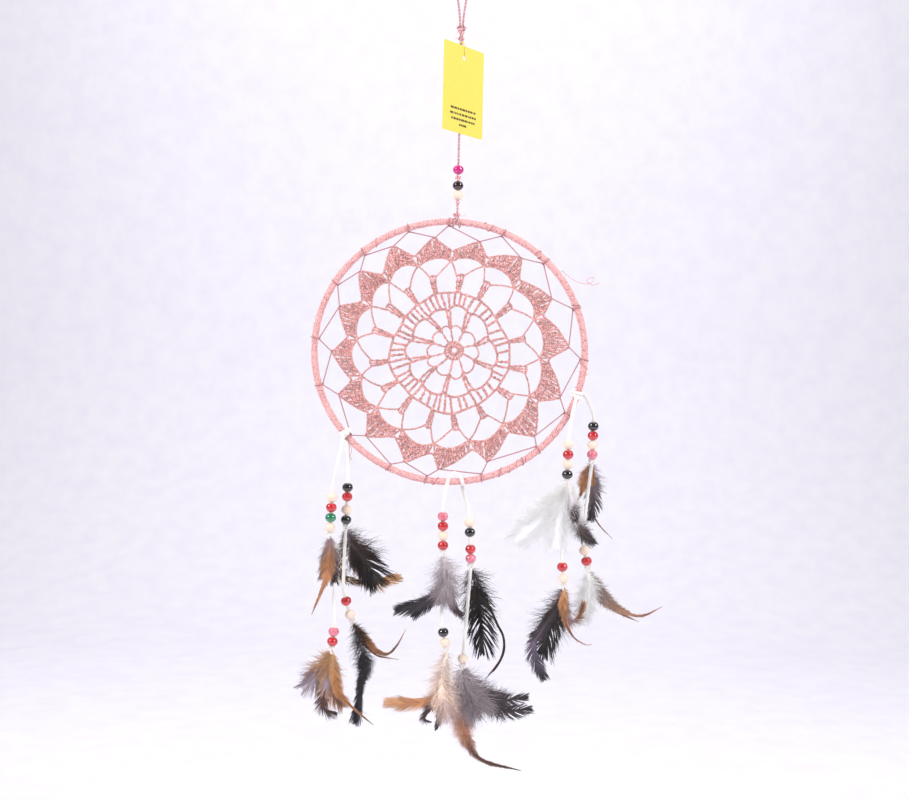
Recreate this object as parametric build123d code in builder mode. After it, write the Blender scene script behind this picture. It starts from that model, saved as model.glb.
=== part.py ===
from build123d import *
import os
from math import atan2, cos, degrees, hypot, pi, radians, sin, tan

# A hanging dream catcher, in millimetres. X runs across the hoop, +Y is the hoop's back, +Z is up.
# The origin is the point of the hanging loop that bears on a nail or peg.

# ---------------------------------------------------------------- driving dimensions
# hoop: an oval ring of wire, wound with yarn
HOOP_X, HOOP_Z = -3.5, -282.8
HOOP_HALF_WIDTH, HOOP_HALF_HEIGHT = 100.0, 96.2
WRAP_RADIUS = 2.6
WRAP_BORE = 1.55
CORE_RADIUS = 1.5

# crochet web, a flat mandala of yarn inside the hoop
WEB_X, WEB_Z = -1.0, -282.2
WEB_THICKNESS = 1.4
YARN = 1.4
EYE_RADIUS, CENTRE_RADIUS = 1.7, 7.8
CHAIN_RADIUS = 18.7
BAND_INNER, BAND_OUTER = 31.9, 44.0
HEAD_RADIUS = 57.5
APEX_RADIUS = 69.5
FAN_TIP_RADIUS = 87.0
SPOKES = 10
POSTS_PER_GAP = 5
PETALS = 16
SPOKE_START = 96.0
PETAL_START = 7.0
LACING = 0.7

# pink hanging cord
CORD = 1.9
LOOP_WIDTH = 14.0
LOOP_JOIN_Z = -34.0
LEG_GAP = 2.1
LOOP_KNOT_Z, LOOP_KNOT_RADIUS = -45.0, 3.0
SMALL_KNOT_RADIUS, SMALL_KNOT_HEIGHT = 1.9, 2.4
SMALL_KNOTS_Z = (-51.6, -154.2, -172.2)
HITCH_TOP_Z = -182.2
KNOT_GAP = 0.35

# swing tag, turned about the cord
TAG_WIDTH, TAG_HEIGHT, TAG_CARD = 45.0, 65.0, 0.4
TAG_YAW = 49.0
TAG_OFFSET = 3.2
TAG_TOP_Z = -57.2
TAG_HOLE_Z, TAG_HOLE_RADIUS = -66.1, 1.7
TAG_COLLAR_Z = -54.4
TAG_LOOP_TOP_Z = -55.2
TAG_THREAD = 0.5

# wooden beads
BEAD_WIDTH, BEAD_HEIGHT = 8.0, 6.8
CORD_BEAD_BORE = 1.03
LACE_BEAD_BORE = 1.3
TOP_BEADS = {"magenta_bead": -148.1, "maroon_bead": -159.8, "natural_bead": -167.0}

# white suede laces, each doubled over the hoop
LACE = 2.0
LACE_KNOT = 1.7
LACE_LEAD = 6.0
TIE_BORE, TIE_RADIUS, TIE_LENGTH = 2.7, 3.6, 5.0
TIES = {"left_tie": 230.7, "bottom_tie": 176.3, "right_tie": 107.5}
LAYER = 4.4
FRONT, BACK = -1, 1

# feathers stand in for their real outline as thin leaves, one above the other
VANE = 0.9
VANE_PITCH = 1.2
FEATHER_DROP = 4.2

# Each strand hangs from `pivot` on its own side of the hoop. A bead cluster is the (x, z) of its first
# and last bead, and where each bead stands between them. A feather is (tip x, tip z, width, bow), from
# the cluster's lower end, with the bow to the right of the way down to its tip.
STRANDS = {
    "left_outer": {
        "side": FRONT, "pivot": (-80.5, -348.0),
        "upper": ((-87.6, -392.2), (-88.5, -414.3), (0, 0.333, 0.667, 1)),
        "lower": ((-84.0, -490.9), (-84.8, -498.1), (0, 1)),
        "upper_layer": 2.0, "lower_layer": 0.7,
        "upper_feathers": ((-95.0, -448.0, 10, 1.5), (-83.0, -452.5, 10, -1.5), (-100.3, -478.0, 7, 4)),
        "lower_feathers": ((-52.7, -558.4, 9, -5), (-104.4, -531.8, 12, 3), (-81.9, -552.8, 14, 2),
                           (-95.0, -541.0, 11, 1)),
    },
    "left_inner": {
        "side": BACK, "pivot": (-77.5, -349.5),
        "upper": ((-77.0, -385.2), (-77.6, -409.3), (0, 0.29, 0.69, 1)),
        "lower": ((-76.2, -469.7), (-73.0, -479.6), (0, 1)),
        "upper_layer": 2.0, "lower_layer": 0.7,
        "upper_feathers": ((-45.5, -440.2, 16, -2), (-37.2, -451.5, 12, -4), (-67.4, -456.2, 9, 1),
                           (-81.5, -452.5, 8, -1)),
        "lower_feathers": ((-65.5, -558.0, 9, 3), (-30.9, -488.5, 8, -17), (-40.0, -507.0, 6, -5)),
    },
    "bottom_left": {
        "side": FRONT, "pivot": (-4.0, -384.0),
        "upper": ((-5.6, -404.3), (-5.1, -425.6), (0, 0.333, 0.667, 1)),
        "lower": ((-3.4, -489.5), (-2.0, -497.2), (0, 1)),
        "upper_layer": 2.0, "lower_layer": 5.6,
        "upper_feathers": ((-38.6, -471.8, 16, -4), (-24.9, -479.2, 12, -2), (0.4, -460.0, 10, 1),
                           (10.6, -476.9, 6, 2)),
        "lower_feathers": ((-5.0, -542.2, 14, 1), (-14.4, -550.5, 7, -3), (-7.0, -556.8, 7, 1),
                           (-45.5, -543.2, 9, 5)),
    },
    "bottom_right": {
        "side": BACK, "pivot": (8.2, -382.5),
        "upper": ((14.3, -409.4), (15.7, -436.0), (0, 0.267, 0.737, 1)),
        "lower": ((11.9, -505.5), (11.5, -510.6), (1,)),
        "upper_layer": 4.8, "lower_layer": 0.7,
        "upper_feathers": ((26.3, -503.8, 20, 1), (26.8, -528.0, 4, 17)),
        "lower_feathers": ((61.8, -547.2, 11, -5), (60.7, -536.7, 9, -7), (57.2, -593.0, 9, -13),
                           (30.0, -545.0, 14, 1)),
    },
    "right_inner": {
        "side": FRONT, "pivot": (88.0, -326.0),
        "upper": ((85.6, -349.4), (85.2, -371.3), (0, 0.333, 0.667, 1)),
        "lower": ((83.1, -439.4), (83.9, -448.0), (0, 1)),
        "upper_layer": 2.0, "lower_layer": 0.7,
        "upper_feathers": ((41.9, -410.7, 16, -3), (70.3, -420.5, 14, -1), (100.7, -422.8, 7, 2),
                           (106.5, -416.7, 6, 4)),
        "lower_feathers": ((55.6, -489.7, 16, -3), (71.6, -522.7, 12, 3), (89.4, -482.3, 7, -1),
                           (97.5, -465.2, 5, 1), (104.9, -493.9, 6, -6)),
    },
    "right_outer": {
        "side": BACK, "pivot": (100.5, -317.0),
        "upper": ((104.6, -335.6), (104.3, -356.7), (0, 0.333, 0.667, 1)),
        "lower": ((100.1, -428.1), (101.8, -436.0), (0, 1)),
        "upper_layer": 4.8, "lower_layer": 0.7,
        "upper_feathers": ((92.9, -388.3, 8, -2), (109.5, -395.3, 9, -1), (122.8, -420.8, 7, -5)),
        "lower_feathers": ((101.9, -476.1, 9, -1), (159.6, -468.9, 8, -13), (140.3, -479.5, 8, -4.5)),
    },
}


# ---------------------------------------------------------------- helpers
def hoop_point(angle):
    """The hoop's centreline at an angle clockwise from its top, and the direction the ring runs in."""
    x, z = sin(radians(angle)), cos(radians(angle))
    reach = 1 / hypot(x / HOOP_HALF_WIDTH, z / HOOP_HALF_HEIGHT)
    along = Vector(z / HOOP_HALF_HEIGHT**2, 0, -x / HOOP_HALF_WIDTH**2).normalized()
    return Vector(HOOP_X + reach * x, 0, HOOP_Z + reach * z), along


def finish(builder, name):
    """Labels a sub-part and writes it."""
    builder.part.label = name
    export_step(builder.part, f"parts/{name}.step")


def bend_radii(points):
    """The largest arc that each corner of a route has room for."""
    radii = []
    for before, corner, after in zip(points, points[1:], points[2:]):
        way_in, way_out = Vector(*corner) - Vector(*before), Vector(*after) - Vector(*corner)
        half_turn = radians(way_in.get_angle(way_out)) / 2
        radii.append(0.45 * min(way_in.length, way_out.length) / tan(half_turn))
    return radii


def cord_part(name, points, diameter):
    """A round cord along straight runs joined by tangent arcs."""
    radii = bend_radii(points)
    with BuildPart() as cord:
        with BuildLine() as route:
            if radii:
                FilletPolyline(*points, radius=radii)
            else:
                Line(*points)
        with BuildSketch(Plane(origin=points[0], z_dir=Vector(*points[1]) - Vector(*points[0]))):
            Circle(diameter / 2)
        sweep(path=route.line)
    length = sum(edge.length for edge in route.edges())
    ratio = cord.part.volume / (length * pi * diameter**2 / 4)
    print(name, "length", round(length, 1), "radii", [round(r) for r in radii], "volume ratio", round(ratio, 4))
    return cord


def bead_part(bore):
    """A round wooden bead, flattened at its two ends, standing on its bore's axis."""
    with BuildPart() as bead:
        with BuildSketch(Plane.XZ):
            with BuildLine():
                ThreePointArc((bore, BEAD_HEIGHT / 2), (BEAD_WIDTH / 2, 0), (bore, -BEAD_HEIGHT / 2))
                Line((bore, -BEAD_HEIGHT / 2), (bore, BEAD_HEIGHT / 2))
            make_face()
        revolve(axis=Axis.Z)
    return bead.part


def ring_sketch(inner, outer):
    """A flat ring about the web's centre."""
    with BuildSketch() as ring:
        Circle(outer)
        Circle(inner, mode=Mode.SUBTRACT)
    return ring.sketch


def turned(radius, angle):
    """A point of the web's plane, at an angle clockwise from its top."""
    return radius * sin(radians(angle)), radius * cos(radians(angle))


def front_plane(x, y, z):
    """A plane that faces the front, with its own Y upwards."""
    return Plane(origin=(x, y, z), x_dir=(1, 0, 0), z_dir=(0, -1, 0))


os.makedirs("parts", exist_ok=True)

# ---------------------------------------------------------------- hanging loop, cord and top beads
half_loop = LOOP_WIDTH / 2
leg_x = LEG_GAP / 2
loop_end_z = LOOP_KNOT_Z + LOOP_KNOT_RADIUS + KNOT_GAP
loop_points = [
    (-leg_x, 0, loop_end_z), (-leg_x, 0, LOOP_JOIN_Z), (-half_loop, 0, CORD / 2),
    (half_loop, 0, CORD / 2), (leg_x, 0, LOOP_JOIN_Z), (leg_x, 0, loop_end_z),
]
hanging_loop = cord_part("hanging_loop", loop_points, CORD)
finish(hanging_loop, "hanging_loop")

with BuildPart() as loop_knot:
    with Locations((0, 0, LOOP_KNOT_Z)):
        Sphere(LOOP_KNOT_RADIUS)
finish(loop_knot, "loop_knot")

cord_top_z = LOOP_KNOT_Z - LOOP_KNOT_RADIUS - KNOT_GAP
cord_end_z = HITCH_TOP_Z + KNOT_GAP
hanging_cord = cord_part("hanging_cord", [(0, 0, cord_top_z), (0, 0, cord_end_z)], CORD)
finish(hanging_cord, "hanging_cord")

with BuildPart() as cord_knots:
    for knot_z in SMALL_KNOTS_Z:
        with BuildSketch(Plane.XZ):
            with Locations((0, knot_z)):
                Ellipse(SMALL_KNOT_RADIUS, SMALL_KNOT_HEIGHT / 2)
                Rectangle(2 * SMALL_KNOT_RADIUS, SMALL_KNOT_HEIGHT, align=(Align.MAX, Align.CENTER),
                          mode=Mode.SUBTRACT)
        revolve(axis=Axis.Z)
    Cylinder(CORD / 2, -2 * cord_end_z, mode=Mode.SUBTRACT)
finish(cord_knots, "cord_knots")

for bead_name, bead_z in TOP_BEADS.items():
    with BuildPart() as top_bead:
        with Locations((0, 0, bead_z)):
            add(bead_part(CORD_BEAD_BORE))
    finish(top_bead, bead_name)

# ---------------------------------------------------------------- swing tag
tag_across = Vector(cos(radians(TAG_YAW)), sin(radians(TAG_YAW)), 0)
tag_out = Vector(sin(radians(TAG_YAW)), -cos(radians(TAG_YAW)), 0)
tag_middle_z = TAG_TOP_Z - TAG_HEIGHT / 2

with BuildPart() as tag_collar:
    with BuildSketch(Plane.XY.offset(TAG_COLLAR_Z)):
        Circle(SMALL_KNOT_RADIUS)
        Circle(CORD / 2 + 0.05, mode=Mode.SUBTRACT)
    extrude(amount=TAG_THREAD, both=True)
finish(tag_collar, "tag_collar")

tag_plane = Plane(origin=tag_out * TAG_OFFSET + Vector(0, 0, tag_middle_z), x_dir=tag_across, z_dir=tag_out)
with BuildPart() as swing_tag:
    with BuildSketch(tag_plane):
        RectangleRounded(TAG_WIDTH, TAG_HEIGHT, 0.8)
        with Locations((0, TAG_HOLE_Z - tag_middle_z)):
            Circle(TAG_HOLE_RADIUS, mode=Mode.SUBTRACT)
    extrude(amount=TAG_CARD / 2, both=True)
finish(swing_tag, "swing_tag")

loop_bottom_z = TAG_HOLE_Z + TAG_HOLE_RADIUS - 0.6 * TAG_THREAD
loop_plane = Plane(origin=tag_out * TAG_OFFSET, x_dir=tag_out, z_dir=-tag_across)
with BuildPart() as tag_loop:
    with BuildSketch(loop_plane):
        with Locations((0, (TAG_LOOP_TOP_Z + loop_bottom_z) / 2)):
            SlotOverall(TAG_LOOP_TOP_Z - loop_bottom_z + TAG_THREAD, 1.6 + TAG_THREAD, rotation=90)
            SlotOverall(TAG_LOOP_TOP_Z - loop_bottom_z - TAG_THREAD, 1.6 - TAG_THREAD, rotation=90,
                        mode=Mode.SUBTRACT)
    extrude(amount=TAG_THREAD / 2, both=True)
finish(tag_loop, "tag_loop")

# ---------------------------------------------------------------- hoop
# The oval is four arcs of two radii that meet on its diagonals.
arc_shift = (HOOP_HALF_WIDTH - HOOP_HALF_HEIGHT) / (2 - 2**0.5)
side_radius = HOOP_HALF_WIDTH - arc_shift
top_radius = HOOP_HALF_HEIGHT + arc_shift
HOOP_ARCS = (
    (0, -arc_shift, top_radius, -45),
    (arc_shift, 0, side_radius, 45),
    (0, arc_shift, top_radius, 135),
    (-arc_shift, 0, side_radius, 225),
)


def hoop_part(outer, inner):
    """An oval ring of round section, hollow if inner is over 0."""
    with BuildPart() as ring:
        for shift_x, shift_z, radius, start in HOOP_ARCS:
            centre = Vector(HOOP_X + shift_x, 0, HOOP_Z + shift_z)
            out_x, out_z = turned(1, start)
            section = Plane(origin=centre + Vector(out_x, 0, out_z) * radius, x_dir=(out_x, 0, out_z),
                            z_dir=(out_z, 0, -out_x))
            with BuildSketch(section):
                Circle(outer)
                if inner:
                    Circle(inner, mode=Mode.SUBTRACT)
            revolve(axis=Axis(centre, (0, 1, 0)), revolution_arc=90)
    return ring


finish(hoop_part(CORE_RADIUS, 0), "hoop_core")
finish(hoop_part(WRAP_RADIUS, WRAP_BORE), "hoop_wrap")

hitch_point = Vector(0, 0, HOOP_Z - arc_shift + (top_radius**2 - HOOP_X**2) ** 0.5)
with BuildPart() as hoop_hitch:
    with BuildSketch(Plane(origin=hitch_point - Vector(TIE_LENGTH / 2, 0, 0), z_dir=(1, 0, 0))):
        Circle(TIE_RADIUS)
    extrude(amount=TIE_LENGTH)
    with BuildSketch(Plane.XY.offset(hitch_point.Z)):
        Circle(SMALL_KNOT_RADIUS)
    extrude(amount=HITCH_TOP_Z - hitch_point.Z)
    with BuildSketch(Plane(origin=hitch_point - Vector(TIE_LENGTH, 0, 0), z_dir=(1, 0, 0))):
        Circle(TIE_BORE + 0.1)
    extrude(amount=2 * TIE_LENGTH, mode=Mode.SUBTRACT)
finish(hoop_hitch, "hoop_hitch")

for tie_name, tie_angle in TIES.items():
    tie_point, tie_along = hoop_point(tie_angle)
    with BuildPart() as tie:
        with BuildSketch(Plane(origin=tie_point - tie_along * (TIE_LENGTH / 2), z_dir=tie_along)):
            Circle(TIE_RADIUS)
            Circle(TIE_BORE, mode=Mode.SUBTRACT)
        extrude(amount=TIE_LENGTH)
    finish(tie, tie_name)

# ---------------------------------------------------------------- crochet web and its lacing
petal_pitch = 360 / PETALS
spoke_pitch = 360 / SPOKES


def radial_bars(inner, outer, count, first, width):
    """Straight bars of yarn from one radius to another, all round the web."""
    with BuildSketch() as bars:
        with PolarLocations((inner + outer) / 2, count, start_angle=90 - first):
            Rectangle(outer - inner, width)
    return bars.sketch


with BuildSketch() as arch:
    for lean in (-1, 1):
        head, apex = Vector(*turned(HEAD_RADIUS, 0)), Vector(*turned(APEX_RADIUS, lean * petal_pitch / 2))
        run = apex - head
        with Locations(Location((head + apex) / 2, degrees(atan2(run.Y, run.X)))):
            Rectangle(run.length + YARN, YARN)

with BuildSketch() as fan:
    with BuildLine():
        base_left, base_right = turned(APEX_RADIUS, -0.47 * petal_pitch), turned(APEX_RADIUS, 0.47 * petal_pitch)
        ThreePointArc(base_left, (0, APEX_RADIUS + YARN), base_right)
        Line(base_right, turned(FAN_TIP_RADIUS, 0))
        Line(turned(FAN_TIP_RADIUS, 0), base_left)
    make_face()

with BuildPart() as crochet_web:
    with BuildSketch(front_plane(WEB_X, WEB_THICKNESS / 2, WEB_Z)):
        add(ring_sketch(EYE_RADIUS, CENTRE_RADIUS))
        add(radial_bars(CENTRE_RADIUS - YARN / 2, CHAIN_RADIUS, SPOKES, SPOKE_START, YARN))
        add(ring_sketch(CHAIN_RADIUS - YARN / 2, CHAIN_RADIUS + YARN / 2))
        add(radial_bars(CHAIN_RADIUS, BAND_INNER + YARN / 2, SPOKES, SPOKE_START, 2 * YARN))
        add(ring_sketch(BAND_INNER - YARN / 2, BAND_INNER + YARN / 2))
        add(radial_bars(BAND_INNER, BAND_OUTER, SPOKES * POSTS_PER_GAP, SPOKE_START, 2 * YARN))
        add(ring_sketch(BAND_OUTER - YARN / 2, BAND_OUTER + YARN / 2))
        add(radial_bars(BAND_OUTER, HEAD_RADIUS, PETALS, PETAL_START, 2 * YARN))
        with PolarLocations(0, PETALS, start_angle=-PETAL_START):
            add(arch.sketch)
            add(fan.sketch)
        add(ring_sketch(APEX_RADIUS - YARN / 2, APEX_RADIUS + YARN / 2))
    extrude(amount=WEB_THICKNESS)
finish(crochet_web, "crochet_web")

lacing_points = []
for petal in range(PETALS):
    angle = PETAL_START + petal * petal_pitch
    tip_x, tip_z = turned(FAN_TIP_RADIUS, angle)
    hoop_spot, _ = hoop_point(angle + petal_pitch / 2)
    inward = Vector(HOOP_X, 0, HOOP_Z) - hoop_spot
    hoop_spot += inward.normalized() * (WRAP_RADIUS - LACING / 2)
    lacing_points += [(tip_x + WEB_X, tip_z + WEB_Z), (hoop_spot.X, hoop_spot.Z)]


with BuildPart() as lacing_thread:
    with BuildSketch(front_plane(0, LACING / 2, 0)):
        for here, there in zip(lacing_points, lacing_points[1:] + lacing_points[:1]):
            run = Vector(*there) - Vector(*here)
            with Locations(Location((Vector(*here) + Vector(*there)) / 2, degrees(atan2(run.Y, run.X)))):
                Rectangle(run.length, LACING)
        with Locations(*lacing_points):
            Circle(LACING / 2)
    extrude(amount=LACING)
finish(lacing_thread, "lacing_thread")


# ---------------------------------------------------------------- strands
def cluster_line(cluster):
    """The first bead's centre, the way down through the cluster, and its length."""
    first, last, _ = cluster
    down = Vector(last[0] - first[0], 0, last[1] - first[1])
    return first, down.normalized(), down.length


def cluster_end(cluster, y, beyond):
    """A point on a cluster's line, past the lower face of its last bead."""
    first, down, length = cluster_line(cluster)
    return Vector(first[0], y, first[1]) + down * (length + BEAD_HEIGHT / 2 + beyond)


def cluster_start(cluster, y, before):
    """A point on a cluster's line, above the upper face of its first bead."""
    first, down, _ = cluster_line(cluster)
    return Vector(first[0], y, first[1]) - down * (BEAD_HEIGHT / 2 + before)


def make_beads(name, cluster, y):
    """The wooden beads of one cluster, in line."""
    first, down, length = cluster_line(cluster)
    tilt = degrees(atan2(-down.X, -down.Z))
    with BuildPart() as beads:
        for place in cluster[2]:
            middle = Vector(first[0], y, first[1]) + down * (length * place)
            with Locations(Location(middle, (0, tilt, 0))):
                add(bead_part(LACE_BEAD_BORE))
    finish(beads, name)


def make_lace(name, start, cluster, y):
    """A suede lace from its start, through a cluster of beads, to the knot under the last one."""
    entry, knot = cluster_start(cluster, y, LACE_LEAD), cluster_end(cluster, y, LACE_KNOT)
    lace = cord_part(name, [tuple(start), tuple(entry), tuple(knot)], LACE)
    with BuildPart() as knotted_lace:
        add(lace.part)
        with Locations(knot):
            Sphere(LACE_KNOT)
    finish(knotted_lace, name)
    return knot


def make_feathers(name, root, feathers, first_y, side):
    """Leaf-shaped plates, one layer behind the other, that widen between two arcs and close in a tip."""
    with BuildPart() as plates:
        for layer, (tip_x, tip_z, width, bow) in enumerate(feathers):
            base, tip = Vector(root.X, root.Z), Vector(tip_x, tip_z)
            along = (tip - base).normalized()
            right = Vector(-along.Y, along.X)
            middle = (base + tip) / 2 + right * bow
            near_y = first_y + side * VANE_PITCH * layer
            front_y = near_y + (VANE if side == BACK else 0)
            with BuildSketch(front_plane(0, front_y, 0)):
                with BuildLine():
                    ThreePointArc(base, middle + right * (width / 2), tip)
                    ThreePointArc(tip, middle - right * (width / 2), base)
                make_face()
            extrude(amount=VANE)
    finish(plates, name)


for strand, spec in STRANDS.items():
    side = spec["side"]
    y = side * LAYER
    pivot_x, pivot_z = spec["pivot"]
    upper_knot = make_lace(f"{strand}_upper_lace", (pivot_x, y, pivot_z - KNOT_GAP), spec["upper"], y)
    make_beads(f"{strand}_upper_beads", spec["upper"], y)
    upper_root = upper_knot - Vector(0, 0, FEATHER_DROP - LACE_KNOT)
    upper_y = y + side * spec["upper_layer"]
    make_feathers(f"{strand}_upper_feathers", upper_root, spec["upper_feathers"], upper_y, side)

    way_down = (cluster_start(spec["lower"], y, LACE_LEAD) - upper_knot).normalized()
    lower_start = upper_knot + way_down * (LACE_KNOT + KNOT_GAP)
    lower_knot = make_lace(f"{strand}_lower_lace", lower_start, spec["lower"], y)
    make_beads(f"{strand}_lower_beads", spec["lower"], y)
    lower_root = lower_knot - Vector(0, 0, FEATHER_DROP - LACE_KNOT)
    lower_y = side * spec["lower_layer"]
    make_feathers(f"{strand}_lower_feathers", lower_root, spec["lower_feathers"], lower_y, side)
    print(strand, "lower hinge at", [round(v, 1) for v in upper_knot])
print("hitch at", hitch_point)
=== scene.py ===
from math import ceil, cos, pi, radians, sin
from zlib import crc32

import bpy
import numpy as np
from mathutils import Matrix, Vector


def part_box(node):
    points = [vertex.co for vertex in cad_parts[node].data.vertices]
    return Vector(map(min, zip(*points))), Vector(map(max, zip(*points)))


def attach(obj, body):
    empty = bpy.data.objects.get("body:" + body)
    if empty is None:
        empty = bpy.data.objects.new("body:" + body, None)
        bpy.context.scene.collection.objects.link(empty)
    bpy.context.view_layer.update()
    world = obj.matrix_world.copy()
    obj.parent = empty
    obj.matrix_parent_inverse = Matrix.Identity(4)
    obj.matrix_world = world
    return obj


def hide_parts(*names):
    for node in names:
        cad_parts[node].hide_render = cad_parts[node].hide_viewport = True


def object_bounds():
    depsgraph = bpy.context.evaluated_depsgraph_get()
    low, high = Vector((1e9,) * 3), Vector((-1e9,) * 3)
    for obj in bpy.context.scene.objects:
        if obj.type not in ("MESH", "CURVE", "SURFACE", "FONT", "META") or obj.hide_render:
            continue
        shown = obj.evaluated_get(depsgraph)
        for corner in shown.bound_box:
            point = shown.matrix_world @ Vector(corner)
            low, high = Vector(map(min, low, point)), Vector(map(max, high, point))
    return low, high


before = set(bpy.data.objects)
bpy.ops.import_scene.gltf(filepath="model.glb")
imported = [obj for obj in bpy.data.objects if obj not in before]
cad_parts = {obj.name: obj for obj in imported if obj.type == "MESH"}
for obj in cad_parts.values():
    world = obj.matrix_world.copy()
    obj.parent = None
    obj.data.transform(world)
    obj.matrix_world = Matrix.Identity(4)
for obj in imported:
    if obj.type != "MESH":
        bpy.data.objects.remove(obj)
cad_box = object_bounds()

# Shapes are worked out in millimetres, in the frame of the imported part: X across the hoop, +Y to its
# back, +Z up, and the origin where the hanging loop bears. Piece.make() turns them into metres.
MM = 0.001
FRONT, BACK = -1, 1
NURBS_ORDER = 3


# ---------------------------------------------------------------- camera, light and backdrop
def add_light(name, place, target, size, power):
    """A square softbox that faces its target."""
    light = bpy.data.lights.new(name, "AREA")
    light.size, light.energy = size, power
    lamp = bpy.data.objects.new(name, light)
    lamp.location = place
    lamp.rotation_euler = (Vector(target) - Vector(place)).to_track_quat("-Z", "Y").to_euler()
    lamp.visible_camera = False
    bpy.context.scene.collection.objects.link(lamp)


def make_studio():
    """The camera in front of the hoop, two softboxes above it to the left and right, and a white sweep."""
    low = cad_box[0]
    middle = Vector((0.001, 0, -0.3184))
    camera = bpy.data.objects.new("camera", bpy.data.cameras.new("camera"))
    lens, distance, roll = 45.5, 0.85, radians(-1.3)
    camera.data.lens = lens
    camera.location = middle - Vector((0, distance, 0))
    camera.rotation_euler = (radians(90), roll, 0)
    bpy.context.scene.collection.objects.link(camera)
    bpy.context.scene.camera = camera
    softbox_size, softbox_power = 0.26, 16.5
    for name, x in (("softbox_left", -1.15), ("softbox_right", 1.15)):
        add_light(name, (x, -0.72, 0.42), middle, softbox_size, softbox_power)
    wash_place, wash_target, wash_size, wash_power = (0, 0.7, 1.5), (0, 1.7, -0.1), 2.0, 21
    add_light("wall_wash", wash_place, wash_target, wash_size, wash_power)

    world = bpy.data.worlds.new("studio")
    world.use_nodes = True
    world.node_tree.nodes["Background"].inputs["Color"].default_value = (0.93, 0.925, 0.97, 1)
    world.node_tree.nodes["Background"].inputs["Strength"].default_value = 0.24
    bpy.context.scene.world = world
    bpy.context.scene.view_settings.view_transform = "Standard"

    # the sweep: a floor below the object that curves up into a wall far behind it
    floor_z, wall_y, cove, reach, top = low.z - 0.16, 1.75, 0.6, 3.0, 2.5
    outline = [(-reach, floor_z)]
    cove_steps = 12
    for step in range(cove_steps + 1):
        angle = radians(90 * step / cove_steps)
        outline.append((wall_y - cove + cove * sin(angle), floor_z + cove - cove * cos(angle)))
    outline.append((wall_y, top))
    points = [(x, y, z) for y, z in outline for x in (-reach, reach)]
    faces = [(2 * i, 2 * i + 1, 2 * i + 3, 2 * i + 2) for i in range(len(outline) - 1)]
    mesh = bpy.data.meshes.new("sweep")
    mesh.from_pydata(points, [], faces)
    mesh.polygons.foreach_set("use_smooth", [True] * len(faces))
    sweep_object = bpy.data.objects.new("sweep", mesh)
    bpy.context.scene.collection.objects.link(sweep_object)
    paper = Shader("studio_paper")
    speckle = paper.noise(30, detail=3)
    paper.base(paper.ramp(speckle, ((0.3, "f4f1fb"), (0.7, "f9f7fd"))))
    paper.surface.inputs["Roughness"].default_value = 0.9
    sweep_object.data.materials.append(paper.material)


# ---------------------------------------------------------------- materials
def linear(hex_code):
    """An sRGB hex colour as linear RGBA."""
    channels = [int(hex_code[i : i + 2], 16) / 255 for i in (0, 2, 4)]
    return [*(c / 12.92 if c <= 0.04045 else ((c + 0.055) / 1.055) ** 2.4 for c in channels), 1.0]


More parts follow.
